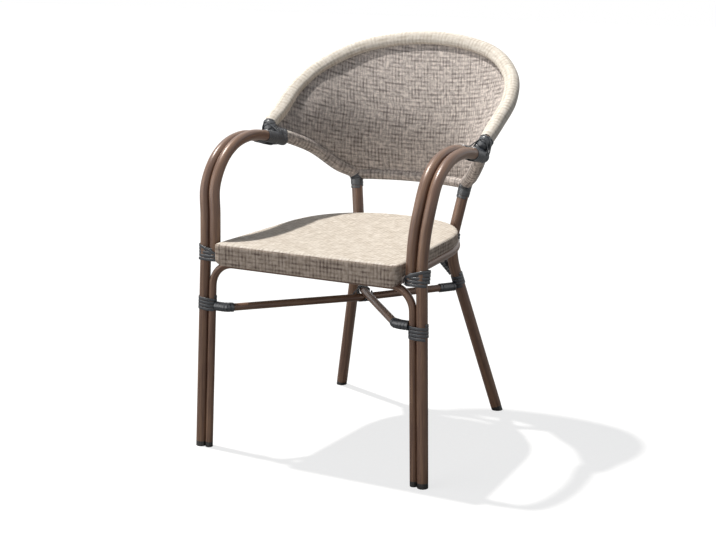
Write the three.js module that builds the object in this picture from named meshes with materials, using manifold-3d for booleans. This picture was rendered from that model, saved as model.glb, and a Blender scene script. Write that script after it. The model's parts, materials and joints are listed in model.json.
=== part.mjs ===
// A stackable bistro armchair: a bent tube frame with the look of rattan cane, a seat and a
// barrel back of stretched sling fabric, and flat strands bound round its joints.
// Units are millimetres. X is the width, Y runs from the front to the back, Z is up.
import * as THREE from 'three';
import Module from 'manifold-3d';
import { mergeVertices } from 'three/addons/utils/BufferGeometryUtils.js';

const wasm = await Module();
wasm.setup();

// Tubes
const armTubeDiameter = 23;
const backTubeDiameter = 25;
const thinTubeDiameter = 16;
const railDiameter = 21;
const seatTubeDiameter = 23;
const skirtTubeDiameter = 14;
const backRailDiameter = 20;
const tubeWall = 1.5;
const clearance = 0.3;

// Seat
const seatHeight = 453;
const seatFrontSpan = 427;
const seatFrontOverhang = 12.6;
const seatWaistSpan = 396;
const seatWaistSetback = 262;
const seatRearSetback = 446;
const seatEdgeRadius = 7;
const seatHemWidth = 27;
const skirtDrop = 46.2;
const skirtEdgeRadius = 3;
const skirtCornerRadius = 14;

// Front legs and arms. They stand outside the seat, so their spans follow its front.
const footSplay = 51.5;
const armSplay = 46.5;
const frontFootSpan = seatFrontSpan + 2 * footSplay;
const armSpan = seatFrontSpan + 2 * armSplay;
const bindingDrop = 23;
const bindingLevel = seatHeight - bindingDrop;
const frontLegLeanIn = 13.3;
const frontLegLeanBack = 15;
const armLength = 268;
const armRise = 196;
const armTopHeight = seatHeight + armRise;
const armTubeStagger = 3;
const outerArmReach = 22;
const innerArmReach = 34;
const innerArmTuck = 17;

// Front arch, its top under the seat
const archDrop = 48;
const archHeight = seatHeight - archDrop;
const archBendRadius = 50;

// Back legs and hoop
const backFootInset = 59.8;
const backFootSpan = frontFootSpan - 2 * backFootInset;
const backFootSetback = 520;
const kneeSpan = 227.4;
const kneeSetback = 442;
const kneeDrop = 70;
const kneeHeight = seatHeight - kneeDrop;
const kneeBendRadius = 170;
const cornerSpan = 276.6;
const cornerSetback = 473;
const cornerRise = 81;
const cornerHeight = seatHeight + cornerRise;
const cornerBendRadius = 24;
const hoopSplay = 6;
const hoopSpan = armSpan + 2 * hoopSplay;
const hoopTopSetback = 580;
const backRise = 388;
const hoopTopHeight = seatHeight + backRise;

// Lower back rail
const backRailBow = 33;

// Stretchers, which start below the arch's bends, and rear brace
const stretcherRun = 38;
const stretcherDrop = 43;
const stretcherFall = 6;
const stretcherFrontHeight = archHeight - archBendRadius - stretcherDrop;
const stretcherCrossHeight = stretcherFrontHeight - stretcherFall;
const stretcherRearHeight = stretcherCrossHeight - stretcherFall;
const stretcherCrossSetback = 245;
const stretcherBendRadius = 28;
const braceLift = 18;
const braceHeight = stretcherRearHeight + braceLift;
const braceTopSpan = 92;
const braceBendRadius = 40;

// Fabric
const slingThickness = 1.2;

// Bound strands
const strandWidth = 6.2;
const strandThickness = 1.7;
const strandSpacing = 0.8;
const strandLayerGap = 0.5;
const strandSteps = 10;
const upperBindingDrop = 27;
const upperBindingHeight = seatHeight - upperBindingDrop;
const innerArmBottom = upperBindingHeight - innerArmTuck;
const lowerBindingLift = 7;
const lowerBindingHeight = stretcherFrontHeight + lowerBindingLift;
const backBindingLift = 15;
const backBindingHeight = stretcherRearHeight + backBindingLift;
const railBindingDrop = 7;
const cornerBindingDrop = 23;
const cornerBindingHeight = cornerHeight - cornerBindingDrop;
const armBindingSetback = 273;

// Foot glides and seat screws
const glideHeight = 11;
const glidePlugLength = 16;
const glideGrip = 0.4;
const screwDiameter = 4.8;
const screwHeadDiameter = 9;
const screwHeadHeight = 2.6;
const screwHoleDiameter = 5.6;
const screwCrownShare = 0.33;
const screwSetbacks = [110, 250];

// One overrun serves every cut
const overrun = 40;

// Facets
const tubeSides = 12;
const boreSides = 8;
const screwSides = 6;
const sleeveSides = 8;
const arcStep = 23;
const denseSteps = 40;
const sampleSpacing = 1.5;
const gapSteps = 8;
const seatEdgeSteps = 2;
const skirtEdgeSteps = 1;
const skirtCornerSteps = 4;

const armRadius = armTubeDiameter / 2;
const backRadius = backTubeDiameter / 2;
const thinRadius = thinTubeDiameter / 2;
const railRadius = railDiameter / 2;
const seatTubeRadius = seatTubeDiameter / 2;
const skirtTubeRadius = skirtTubeDiameter / 2;
const backRailRadius = backRailDiameter / 2;
const strandPitch = strandWidth + strandSpacing;

const tubeFinish = { color: 0x594539, roughness: 0.42, metalness: 0.35 };
const slingFinish = { color: 0xc9bfae, roughness: 0.85, metalness: 0 };
const strandFinish = { color: 0x2c2b2d, roughness: 0.5, metalness: 0 };
const glideFinish = { color: 0x1d1b1a, roughness: 0.6, metalness: 0 };
const screwFinish = { color: 0x9b9892, roughness: 0.35, metalness: 0.9 };

const chair = new THREE.Group();
const hands = { left: -1, right: 1 };

function point(x, y, z) {
  return new THREE.Vector3(x, y, z);
}

function mirrored(points) {
  return points.map((p) => point(-p.x, p.y, p.z));
}

function handed(points, hand) {
  return hand > 0 ? points : mirrored(points);
}

function between(a, b, share) {
  return a.clone().lerp(b, share);
}

function direction(from, to) {
  return to.clone().sub(from).normalize();
}

// How far from a tube's axis its bound strand keeps its neighbours
function boundRadius(radius) {
  return (radius + clearance + strandThickness) / Math.cos(Math.PI / strandSteps) + clearance;
}

function addPiece(name, geometry, finish) {
  const piece = new THREE.Mesh(geometry, new THREE.MeshStandardMaterial(finish));
  piece.name = name;
  chair.add(piece);
}

// The rings of a tube. The path is asked only for its own points, so a straight
// stretch takes one step and a bend takes as many as it needs.
class RingPath extends THREE.Curve {
  constructor(points) {
    super();
    this.points = points;
  }

  getPointAt(share) {
    return this.points[Math.round(share * (this.points.length - 1))].clone();
  }

  getTangentAt(share) {
    const last = this.points.length - 1;
    const index = Math.round(share * last);
    const here = this.points[index];
    const tangent = new THREE.Vector3();
    if (index > 0) tangent.add(direction(this.points[index - 1], here));
    if (index < last) tangent.add(direction(here, this.points[index + 1]));
    return tangent.normalize();
  }
}

// An even count, so that a bend has a ring halfway round
function bendSteps(turn) {
  return 2 * Math.ceil(THREE.MathUtils.radToDeg(turn) / arcStep / 2);
}

// A run of straight stretches joined by bends, each of its own radius.
function bentPath(corners, radii) {
  const points = [corners[0]];
  for (let i = 1; i < corners.length - 1; i++) {
    const radius = radii[i - 1];
    const inward = direction(corners[i], corners[i - 1]);
    const onward = direction(corners[i], corners[i + 1]);
    const turn = Math.PI - inward.angleTo(onward);
    const start = corners[i].clone().addScaledVector(inward, radius * Math.tan(turn / 2));
    const bisector = inward.clone().add(onward).normalize();
    const centre = corners[i].clone().addScaledVector(bisector, radius / Math.cos(turn / 2));
    const steps = bendSteps(turn);
    const spoke = start.clone().sub(centre);
    const axis = inward.clone().negate().cross(onward).normalize();
    for (let k = 0; k <= steps; k++) {
      points.push(centre.clone().add(spoke.clone().applyAxisAngle(axis, (turn * k) / steps)));
    }
  }
  points.push(corners[corners.length - 1]);
  return points;
}

// The first intervals of a smooth curve, as rings that lie closer where it turns more.
function curveRings(knots, intervals) {
  const curve = new THREE.CatmullRomCurve3(knots, false, 'centripetal');
  const dense = curve.getPoints(denseSteps * (knots.length - 1)).slice(0, denseSteps * intervals + 1);
  const rings = [dense[0]];
  let turned = 0;
  for (let i = 1; i < dense.length - 1; i++) {
    turned += direction(dense[i - 1], dense[i]).angleTo(direction(dense[i], dense[i + 1]));
    if (THREE.MathUtils.radToDeg(turned) > arcStep) {
      rings.push(dense[i]);
      turned = 0;
    }
  }
  rings.push(dense[dense.length - 1]);
  return rings;
}

function placeAlong(path, key, value) {
  for (let i = 1; i < path.length; i++) {
    const share = (value - path[i - 1][key]) / (path[i][key] - path[i - 1][key]);
    if (share >= 0 && share <= 1) return between(path[i - 1], path[i], share);
  }
  return path[path.length - 1].clone();
}

function polygon(radius, sides) {
  const corners = [];
  for (let k = 0; k < sides; k++) {
    const angle = (2 * Math.PI * k) / sides;
    corners.push(new THREE.Vector2(radius * Math.cos(angle), radius * Math.sin(angle)));
  }
  return corners;
}

function sweep(points, radius, sides, boreRadius = 0) {
  const shape = new THREE.Shape(polygon(radius, sides));
  if (boreRadius > 0) shape.holes.push(new THREE.Path(polygon(boreRadius, boreSides).reverse()));
  return new THREE.ExtrudeGeometry(shape, { steps: points.length - 1, extrudePath: new RingPath(points) });
}

function tube(points, radius) {
  return sweep(points, radius, tubeSides, radius - tubeWall);
}

// A sweep whose flats, not its corners, lie at the radius.
function roomyTube(points, radius, sides) {
  return sweep(points, radius / Math.cos(Math.PI / sides), sides);
}

// Solids that are joined or cut
function toSolid(geometry) {
  const bare = geometry.clone();
  bare.deleteAttribute('normal');
  bare.deleteAttribute('uv');
  const merged = mergeVertices(bare);
  const mesh = new wasm.Mesh({
    numProp: 3,
    vertProperties: new Float32Array(merged.attributes.position.array),
    triVerts: new Uint32Array(merged.index.array),
  });
  return new wasm.Manifold(mesh);
}

// The cut piece itself, without the crumbs that a cut may leave beside it.
function toGeometry(solid) {
  const parts = solid.decompose();
  parts.sort((a, b) => b.volume() - a.volume());
  const mesh = parts[0].getMesh();
  const geometry = new THREE.BufferGeometry();
  geometry.setAttribute('position', new THREE.BufferAttribute(mesh.vertProperties, 3));
  geometry.setIndex(new THREE.BufferAttribute(mesh.triVerts, 1));
  return geometry;
}

function facesToGeometry(corners, faces) {
  const geometry = new THREE.BufferGeometry();
  geometry.setFromPoints(corners);
  geometry.setIndex(faces.flat());
  return geometry;
}

function carve(bodies, cutters) {
  let solid = toSolid(bodies[0]);
  for (const body of bodies.slice(1)) solid = solid.add(toSolid(body));
  for (const cutter of cutters) solid = solid.subtract(toSolid(cutter));
  return toGeometry(solid);
}

// What a coped tube end is cut by: its neighbour with the clearance round it.
function copeCutter(path, radius) {
  return roomyTube(path, radius + clearance, tubeSides);
}

// Front legs and arms: each is one tube that stands on the floor, leans in to the seat,
// bulges out above it and bends back into the arm.
const frontFoot = point(frontFootSpan / 2, 0, 0);
const legAtBinding = point(frontFootSpan / 2 - frontLegLeanIn, frontLegLeanBack, bindingLevel);

// Places up the arm as shares of its half span, its length and its rise above the seat binding.
const armStationShares = [
  [0.977, 0.08, 0.331],
  [1, 0.1205, 0.5945],
  [1, 0.2396, 0.8228],
  [1, 0.42, 0.956],
  [1, 0.6545, 1],
  [0.998, 0.86, 0.968],
  [0.992, 1, 0.925],
];

function armStation([spanShare, lengthShare, riseShare]) {
  return point(
    (spanShare * armSpan) / 2,
    lengthShare * armLength,
    bindingLevel + riseShare * (armTopHeight - bindingLevel),
  );
}

function onFrontLeg(height) {
  return between(frontFoot, legAtBinding, height / bindingLevel);
}

const legTop = onFrontLeg(bindingLevel - overrun);
const armKnots = [legTop, legAtBinding, ...armStationShares.map(armStation)];
const armRings = curveRings(armKnots, armKnots.length - 1);
const frontLegDirection = direction(frontFoot, legAtBinding);
const glideTop = frontFoot.clone().addScaledVector(frontLegDirection, glideHeight);

// A run carried straight on past its last ring, to where its end is coped
function reachOn(rings, reach) {
  const [before, end] = rings.slice(-2);
  return [...rings, end.clone().addScaledVector(direction(before, end), reach)];
}

const outerArmPath = [glideTop, ...reachOn(armRings, outerArmReach)];

const armPitch = armTubeDiameter + clearance;
const innerArmRings = armRings.slice(1).map((p) => point(p.x - armPitch, p.y, p.z + armTubeStagger));
const innerArmFoot = onFrontLeg(innerArmBottom);
innerArmFoot.x -= armPitch;
const innerArmPath = [innerArmFoot, ...reachOn(innerArmRings, innerArmReach)];

// Back frame: leg, side, hoop over the top, side, leg, in one bent tube.
const backFoot = point(backFootSpan / 2, backFootSetback, 0);
const backKnee = point(kneeSpan / 2, kneeSetback, kneeHeight);
const backCorner = point(cornerSpan / 2, cornerSetback, cornerHeight);

// Places round half of the hoop as shares of its half span, of the depth from the arm's end
// to the hoop's top, and of the rise from the back corner to the hoop's top.
const hoopStationShares = [
  [0.627, 0.544, 0.069],
  [0.772, 0.385, 0.215],
  [0.876, 0.18, 0.312],
  [0.944, 0.077, 0.358],
  [0.98, 0.081, 0.403],
  [0.993, 0.256, 0.508],
  [0.993, 0.4625, 0.6365],
  [0.889, 0.6935, 0.7835],
  [0.589, 0.911, 0.9285],
];

function hoopStation([spanShare, depthShare, riseShare]) {
  return point(
    (spanShare * hoopSpan) / 2,
    armLength + depthShare * (hoopTopSetback - armLength),
    cornerHeight + riseShare * (hoopTopHeight - cornerHeight),
  );
}

const hoopTop = point(0, hoopTopSetback, hoopTopHeight);
const hoopStations = hoopStationShares.map(hoopStation);
const legCorners = [backFoot, backKnee, backCorner, hoopStations[0]];
const legBends = bentPath(legCorners, [kneeBendRadius, cornerBendRadius]);
const legRings = legBends.slice(0, -1);
const hoopHalfKnots = [legRings[legRings.length - 1], ...hoopStations];
const hoopKnots = [...hoopHalfKnots, hoopTop, ...mirrored(hoopHalfKnots).reverse()];
const hoopRings = curveRings(hoopKnots, hoopHalfKnots.length);
legRings[0] = backFoot.clone().addScaledVector(direction(backFoot, backKnee), glideHeight);
const backHalf = [...legRings, ...hoopRings.slice(1)];
const backFramePath = [...backHalf, ...mirrored(backHalf.slice(0, -1)).reverse()];

// The ring halfway round the corner bend
const cornerTurn = direction(backKnee, backCorner).angleTo(direction(backCorner, hoopStations[0]));
const cornerIndex = legRings.length - 1 - bendSteps(cornerTurn) / 2;
const cornerMiddle = backHalf[cornerIndex];

function onBackLeg(height) {
  return placeAlong(legRings, 'z', height);
}

// Front arch of thin tube, its legs side by side with the front legs.
const archPitch = armRadius + thinRadius + clearance;
const archFoot = point(frontFoot.x - archPitch, 0, 0);
const archShoulder = onFrontLeg(archHeight);
archShoulder.x -= archPitch;
const archCorners = [archFoot.clone().addScaledVector(frontLegDirection, glideHeight), archShoulder];
const archRoute = [...archCorners, ...mirrored(archCorners).reverse()];
const archPath = bentPath(archRoute, [archBendRadius, archBendRadius]);

// Seat outline: a tapered front, drawn round into the back.
const seatFront = -seatFrontOverhang;
const seatOutlineSteps = 6;
const seatBendReachShare = 0.52;
const seatBendWidthShare = 0.7;

function seatSide() {
  const frontCorner = new THREE.Vector2(seatFrontSpan / 2, seatFront);
  const waist = new THREE.Vector2(seatWaistSpan / 2, seatWaistSetback);
  const lean = waist.clone().sub(frontCorner).normalize();
  const reach = (seatRearSetback - seatWaistSetback) * seatBendReachShare;
  const bend = new THREE.CubicBezierCurve(
    waist,
    waist.clone().addScaledVector(lean, reach),
    new THREE.Vector2((seatWaistSpan / 2) * seatBendWidthShare, seatRearSetback),
    new THREE.Vector2(0, seatRearSetback),
  );
  return [frontCorner, ...bend.getPoints(seatOutlineSteps)];
}

// Half of the outline, drawn in by an inset all round.
function insetSide(inset) {
  const side = seatSide();
  const last = side.length - 1;
  return side.map((p, i) => {
    const before = side[Math.max(i, 1)].clone().sub(side[Math.max(i - 1, 0)]).normalize();
    const after = i < last ? side[i + 1].clone().sub(p).normalize() : new THREE.Vector2(before.x, -before.y);
    const along = before.clone().add(after).normalize();
    const mitre = inset / along.dot(after);
    const place = new THREE.Vector2(p.x - along.y * mitre, p.y + along.x * mitre);
    if (i === 0) place.addScaledVector(along, (p.y + inset - place.y) / along.y);
    return place;
  });
}

const seatFrameInset = slingThickness + clearance + seatTubeRadius;
const seatTubeHeight = seatHeight - seatFrameInset;
const seatBottom = seatTubeHeight - seatFrameInset;
const seatBarSetback = seatFront + seatFrameInset;
const skirtInset = slingThickness + clearance + skirtTubeRadius;
const skirtBottom = seatHeight - skirtDrop;
const skirtThickness = 2 * skirtInset;
const skirtBack = seatFront + skirtThickness;
const railHeight = seatBottom - clearance - railRadius;

const frameSide = insetSide(seatFrameInset).map((p) => point(p.x, p.y, seatTubeHeight));
const framePath = [...frameSide, ...mirrored(frameSide.slice(0, -1)).reverse()];

// Seat rail: a bent tube under the seat's edge. Its front rests in the arch and its rear is
// set back until it lies against the bound back legs.
function railHalfAt(setback) {
  const half = frameSide.slice(1).map((p) => {
    const share = (p.y - frameSide[1].y) / (frameSide[frameSide.length - 1].y - frameSide[1].y);
    return point(p.x, p.y + setback * share ** 2, railHeight);
  });
  const taper = (frameSide[0].x - frameSide[1].x) / (frameSide[1].y - frameSide[0].y);
  const front = placeAlong(frameSide, 'y', skirtBack + clearance + taper * railRadius);
  return [point(front.x, front.y, railHeight), ...half];
}

function distanceToPath(place, path) {
  let least = Infinity;
  for (let i = 1; i < path.length; i++) {
    const nearest = new THREE.Vector3();
    new THREE.Line3(path[i - 1], path[i]).closestPointToPoint(place, true, nearest);
    least = Math.min(least, nearest.distanceTo(place));
  }
  return least;
}

const railLevelShares = [-1, -0.75, -0.5, -0.25, 0, 0.25, 0.5, 0.75, 1];
const halvings = 24;

function railSetback() {
  const seated = boundRadius(backRadius) + railRadius;
  const legPlaces = railLevelShares.map((share) => onBackLeg(railHeight + share * railRadius));
  let near = -overrun;
  let far = overrun;
  for (let k = 0; k < halvings; k++) {
    const middle = (near + far) / 2;
    const path = railHalfAt(middle);
    const gap = Math.min(...legPlaces.map((place) => distanceToPath(place, path)));
    if (gap > seated) near = middle;
    else far = middle;
  }
  return near;
}

const railHalf = railHalfAt(railSetback());
const railPath = [...railHalf, ...mirrored(railHalf.slice(0, -1)).reverse()];

// Stretchers: each starts square on an arch leg, turns to the crossing and goes on to the
// opposite back leg. The upper one lies on the lower one at the crossing.
const stretcherPitch = thinTubeDiameter + clearance;

function stretcherPath(lift, hand) {
  const start = onFrontLeg(stretcherFrontHeight + lift);
  start.x -= archPitch;
  const turn = point(start.x - stretcherRun, start.y, start.z);
  const cross = point(0, stretcherCrossSetback, stretcherCrossHeight + lift);
  const end = onBackLeg(stretcherRearHeight + lift);
  end.x = -end.x;
  const path = bentPath([start, turn, cross, end], [stretcherBendRadius, stretcherBendRadius]);
  return handed(path, hand);
}

const stretcherPaths = { left: stretcherPath(0, -1), right: stretcherPath(stretcherPitch, 1) };

// Rear brace: a low arch between the back legs, its top under the seat rail.
const railRear = railHalf[railHalf.length - 1];
const braceEnd = onBackLeg(braceHeight);
const braceTopHeight = railHeight - railRadius - clearance - thinRadius;
const braceTop = point(braceTopSpan / 2, railRear.y, braceTopHeight);
const braceCorners = [braceEnd, braceTop, ...mirrored([braceTop, braceEnd])];
const bracePath = bentPath(braceCorners, [braceBendRadius, braceBendRadius]);

// Lower back rail, bowed back between the corners of the back frame.
const backRailSteps = 8;
const backRailPath = new THREE.QuadraticBezierCurve3(
  cornerMiddle,
  point(0, cornerMiddle.y + 2 * backRailBow, cornerMiddle.z),
  mirrored([cornerMiddle])[0],
).getPoints(backRailSteps);

// Bound strands. A strand lies flat against the hull of whatever tubes pass through it. For
// each direction round the axis, the hull's reach is the furthest of the tubes' sections.
function samplesOf(path, centre, reach) {
  const samples = [];
  for (let i = 1; i < path.length; i++) {
    const steps = Math.ceil(path[i].distanceTo(path[i - 1]) / sampleSpacing);
    for (let k = 0; k <= steps; k++) {
      const sample = between(path[i - 1], path[i], k / steps);
      if (sample.distanceTo(centre) < reach) samples.push(sample);
    }
  }
  return samples;
}

class Binding {
  constructor({ cores, centre, axis, toward, turns, hand = 1, crossingSteps = 0 }) {
    this.turns = turns;
    this.hand = hand;
    this.crossingSteps = crossingSteps;
    this.centre = centre;
    this.axis = axis.clone().normalize();
    this.across = toward.clone().addScaledVector(this.axis, -toward.dot(this.axis)).normalize();
    this.onward = this.across.clone().cross(this.axis).multiplyScalar(hand);
    this.start = (-turns * strandPitch) / 2;
    this.cores = cores.map(({ path, radius }) => ({
      samples: samplesOf(path, centre, turns * strandPitch + 2 * overrun),
      radius: radius + clearance,
    }));
    this.reaches = new Map();
  }

  wayAt(index) {
    const angle = (2 * Math.PI * (index + 0.5)) / strandSteps;
    return this.across.clone().multiplyScalar(Math.cos(angle)).addScaledVector(this.onward, Math.sin(angle));
  }

  sectionReach(way, height) {
    let reach = -Infinity;
    for (const { samples, radius } of this.cores) {
      for (const sample of samples) {
        const offset = sample.clone().sub(this.centre);
        const away = offset.dot(this.axis) - height;
        if (Math.abs(away) < radius) {
          reach = Math.max(reach, offset.dot(way) + Math.sqrt(radius ** 2 - away ** 2));
        }
      }
    }
    return reach;
  }

  reachAt(index, height) {
    const turn = ((index % strandSteps) + strandSteps) % strandSteps;
    const key = `${turn}:${height.toFixed(3)}`;
    if (!this.reaches.has(key)) {
      const way = this.wayAt(turn);
      const planes = [height - strandWidth / 2, height, height + strandWidth / 2];
      this.reaches.set(key, Math.max(...planes.map((plane) => this.sectionReach(way, plane))));
    }
    return this.reaches.get(key);
  }

  widestReachAt(index) {
    let reach = -Infinity;
    for (let k = 0; k <= this.turns; k++) {
      reach = Math.max(reach, this.reachAt(index, this.start + k * strandPitch));
    }
    return reach;
  }

  // Where the flats of two neighbouring directions meet
  corner(index, firstReach, secondReach, height) {
    const step = (2 * Math.PI) / strandSteps;
    const first = this.wayAt(index);
    const second = this.wayAt(index + 1);
    const a = (firstReach - secondReach * Math.cos(step)) / Math.sin(step) ** 2;
    const b = (secondReach - firstReach * Math.cos(step)) / Math.sin(step) ** 2;
    return this.centre
      .clone()
      .addScaledVector(first, a)
      .addScaledVector(second, b)
      .addScaledVector(this.axis, height);
  }

  section(index, height, outer) {
    const lift = outer ? strandThickness + strandLayerGap : 0;
    const reaches = [index, index + 1].map((k) => {
      return (outer ? this.widestReachAt(k) : this.reachAt(k, height)) + lift;
    });
    const [low, high] = [height - strandWidth / 2, height + strandWidth / 2];
    const inner = reaches;
    const outward = reaches.map((reach) => reach + strandThickness);
    return [
      this.corner(index, ...inner, low),
      this.corner(index, ...outward, low),
      this.corner(index, ...outward, high),
      this.corner(index, ...inner, high),
    ];
  }

  sections() {
    const list = [];
    const levelSteps = this.turns * strandSteps;
    for (let k = 0; k <= levelSteps; k++) {
      list.push(this.section(k, this.start + (strandPitch * k) / strandSteps, false));
    }
    const top = this.start + strandPitch * this.turns;
    const drop = strandPitch * this.turns;
    for (let k = 1; k <= this.crossingSteps; k++) {
      list.push(this.section(levelSteps + k, top - (drop * (k - 1)) / (this.crossingSteps - 1), true));
    }
    return list;
  }

  geometry() {
    const sections = this.sections();
    const faces = [[0, 1, 2], [0, 2, 3]];
    for (let s = 0; s < sections.length - 1; s++) {
      for (let k = 0; k < 4; k++) {
        const here = 4 * s + k;
        const side = 4 * s + ((k + 1) % 4);
        faces.push([here, here + 4, side + 4], [here, side + 4, side]);
      }
    }
    const end = 4 * (sections.length - 1);
    faces.push([end, end + 2, end + 1], [end, end + 3, end + 2]);
    return facesToGeometry(sections.flat(), this.turned(faces));
  }

  // A strand laid the other way round has its faces turned over.
  turned(faces) {
    return this.hand < 0 ? faces : faces.map(([a, b, c]) => [a, c, b]);
  }

  // The least distance between points of the strand half a turn or more apart
  leastGap() {
    const rounds = this.sections().map((corners) => {
      const points = [];
      corners.forEach((corner, k) => {
        const next = corners[(k + 1) % corners.length];
        for (let step = 0; step < gapSteps; step++) points.push(between(corner, next, step / gapSteps));
      });
      return points;
    });
    let least = Infinity;
    for (let i = 0; i < rounds.length; i++) {
      for (let j = i + strandSteps / 2; j < rounds.length; j++) {
        for (const a of rounds[i]) {
          for (const b of rounds[j]) least = Math.min(least, a.distanceTo(b));
        }
      }
    }
    return least;
  }

  // The room that the bound strand takes, for cutting what stands against it
  envelope() {
    const low = this.start - strandWidth / 2 - clearance;
    const high = this.start + strandPitch * this.turns + strandWidth / 2 + clearance;
    const lift = strandThickness + clearance;
    const corners = [];
    for (const height of [low, high]) {
      for (let k = 0; k < strandSteps; k++) {
        corners.push(this.corner(k, this.widestReachAt(k) + lift, this.widestReachAt(k + 1) + lift, height));
      }
    }
    const faces = [];
    for (let k = 0; k < strandSteps; k++) {
      const next = (k + 1) % strandSteps;
      faces.push([k, next, strandSteps + next], [k, strandSteps + next, strandSteps + k]);
      if (k > 1) faces.push([0, k, k - 1], [strandSteps, strandSteps + k - 1, strandSteps + k]);
    }
    return facesToGeometry(corners, this.turned(faces));
  }
}

// How far from a bound back leg's axis a strand can start on a thin tube that meets it aslant
function legStart(way, legAxis) {
  const slant = way.angleTo(legAxis);
  const tubeReach = boundRadius(thinRadius) * Math.abs(Math.cos(slant));
  return (boundRadius(backRadius) + tubeReach) / Math.sin(slant) + strandWidth / 2;
}

const bindings = {};
const sideways = point(1, 0, 0);
const backward = point(0, 1, 0);

for (const [side, hand] of Object.entries(hands)) {
  const outerArm = { path: handed(outerArmPath, hand), radius: armRadius };
  const innerArm = { path: handed(innerArmPath, hand), radius: armRadius };
  const arch = { path: archPath, radius: thinRadius };
  const back = { path: backFramePath, radius: backRadius };
  const stretcher = { path: stretcherPaths[side], radius: thinRadius };
  const brace = { path: bracePath, radius: thinRadius };
  const frontAxis = handed([frontLegDirection], hand)[0];
  const opposite = hand > 0 ? stretcherPaths.left : stretcherPaths.right;
  const last = opposite.length - 1;
  const strandStart = boundRadius(thinRadius) + strandWidth / 2;

  bindings[`front_upper_binding_${side}`] = new Binding({
    cores: [outerArm, innerArm],
    centre: handed([onFrontLeg(upperBindingHeight)], hand)[0],
    axis: frontAxis,
    toward: handed([sideways], hand)[0],
    turns: 4,
    hand,
    crossingSteps: 4,
  });
  bindings[`front_lower_binding_${side}`] = new Binding({
    cores: [outerArm, arch],
    centre: handed([onFrontLeg(lowerBindingHeight)], hand)[0],
    axis: frontAxis,
    toward: sideways,
    turns: 4,
  });
  bindings[`stretcher_front_binding_${side}`] = new Binding({
    cores: [stretcher],
    centre: stretcher.path[0].clone().addScaledVector(sideways, -hand * (strandStart + 2 * strandPitch)),
    axis: sideways,
    toward: backward,
    turns: 4,
  });
  const legPlace = handed([onBackLeg(backBindingHeight)], hand)[0];
  const legAxis = handed([direction(backFoot, backKnee)], hand)[0];
  bindings[`back_leg_binding_${side}`] = new Binding({
    cores: [back],
    centre: legPlace,
    axis: legAxis,
    toward: sideways,
    turns: 4,
  });
  const stretcherWay = direction(opposite[last], opposite[last - 1]);
  const stretcherTurns = 3;
  const stretcherReach = legStart(stretcherWay, legAxis) + (stretcherTurns * strandPitch) / 2;
  bindings[`stretcher_back_binding_${side}`] = new Binding({
    cores: [{ path: opposite, radius: thinRadius }],
    centre: opposite[last].clone().addScaledVector(stretcherWay, stretcherReach),
    axis: stretcherWay,
    toward: sideways,
    turns: stretcherTurns,
  });
  const braceWay = handed([direction(braceEnd, braceTop)], hand)[0];
  bindings[`brace_binding_${side}`] = new Binding({
    cores: [brace],
    centre: handed([braceEnd], hand)[0].addScaledVector(braceWay, legStart(braceWay, legAxis) + strandPitch),
    axis: braceWay,
    toward: backward,
    turns: 2,
  });
  const legAtRail = direction(onBackLeg(railHeight - railDiameter), onBackLeg(railHeight + railRadius));
  bindings[`seat_rail_binding_${side}`] = new Binding({
    cores: [back],
    centre: handed([onBackLeg(railHeight - railBindingDrop)], hand)[0],
    axis: handed([legAtRail], hand)[0],
    toward: sideways,
    turns: 3,
  });
  bindings[`back_corner_binding_${side}`] = new Binding({
    cores: [back],
    centre: handed([onBackLeg(cornerBindingHeight)], hand)[0],
    axis: handed([direction(backKnee, backCorner)], hand)[0],
    toward: sideways,
    turns: 3,
  });
  const armEnd = placeAlong(outerArm.path, 'y', armBindingSetback);
  armEnd.x -= (hand * armPitch) / 2;
  bindings[`arm_binding_${side}`] = new Binding({
    cores: [outerArm, innerArm, back],
    centre: armEnd,
    axis: backward,
    toward: sideways,
    turns: 4,
  });
}

bindings.crossing_binding = new Binding({
  cores: Object.values(stretcherPaths).map((path) => ({ path, radius: thinRadius })),
  centre: point(0, stretcherCrossSetback, stretcherCrossHeight + stretcherPitch / 2),
  axis: backward,
  toward: sideways,
  turns: 3,
});

let leastStrandGap = Infinity;
for (const [name, binding] of Object.entries(bindings)) {
  addPiece(name, binding.geometry(), strandFinish);
  leastStrandGap = Math.min(leastStrandGap, binding.leastGap());
}
console.log(`Least gap of a bound strand to itself: ${leastStrandGap.toFixed(2)} mm`);

// Frame tubes with their coped ends
const backCutter = copeCutter(backFramePath, backRadius);
const archCutter = copeCutter(archPath, thinRadius);

for (const [side, hand] of Object.entries(hands)) {
  const outer = tube(handed(outerArmPath, hand), armRadius);
  const inner = tube(handed(innerArmPath, hand), armRadius);
  const legCutters = [
    bindings[`front_lower_binding_${side}`].envelope(),
    bindings[`back_leg_binding_${hand > 0 ? 'left' : 'right'}`].envelope(),
  ];
  const stretcher = tube(stretcherPaths[side], thinRadius);
  addPiece(`front_leg_arm_${side}`, carve([outer], [backCutter]), tubeFinish);
  addPiece(`inner_arm_${side}`, carve([inner], [backCutter]), tubeFinish);
  addPiece(`stretcher_${side}`, carve([stretcher], [...legCutters, archCutter, backCutter]), tubeFinish);
}

const braceCutters = Object.keys(hands).map(side => bindings[`back_leg_binding_${side}`].envelope());
const cornerCutters = Object.keys(hands).map(side => bindings[`back_corner_binding_${side}`].envelope());
addPiece('front_arch', tube(archPath, thinRadius), tubeFinish);
addPiece('back_frame', tube(backFramePath, backRadius), tubeFinish);
addPiece('rear_brace', carve([tube(bracePath, thinRadius)], [...braceCutters, backCutter]), tubeFinish);
addPiece(
  'lower_back_rail',
  carve([tube(backRailPath, backRailRadius)], [...cornerCutters, backCutter]),
  tubeFinish,
);

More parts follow.
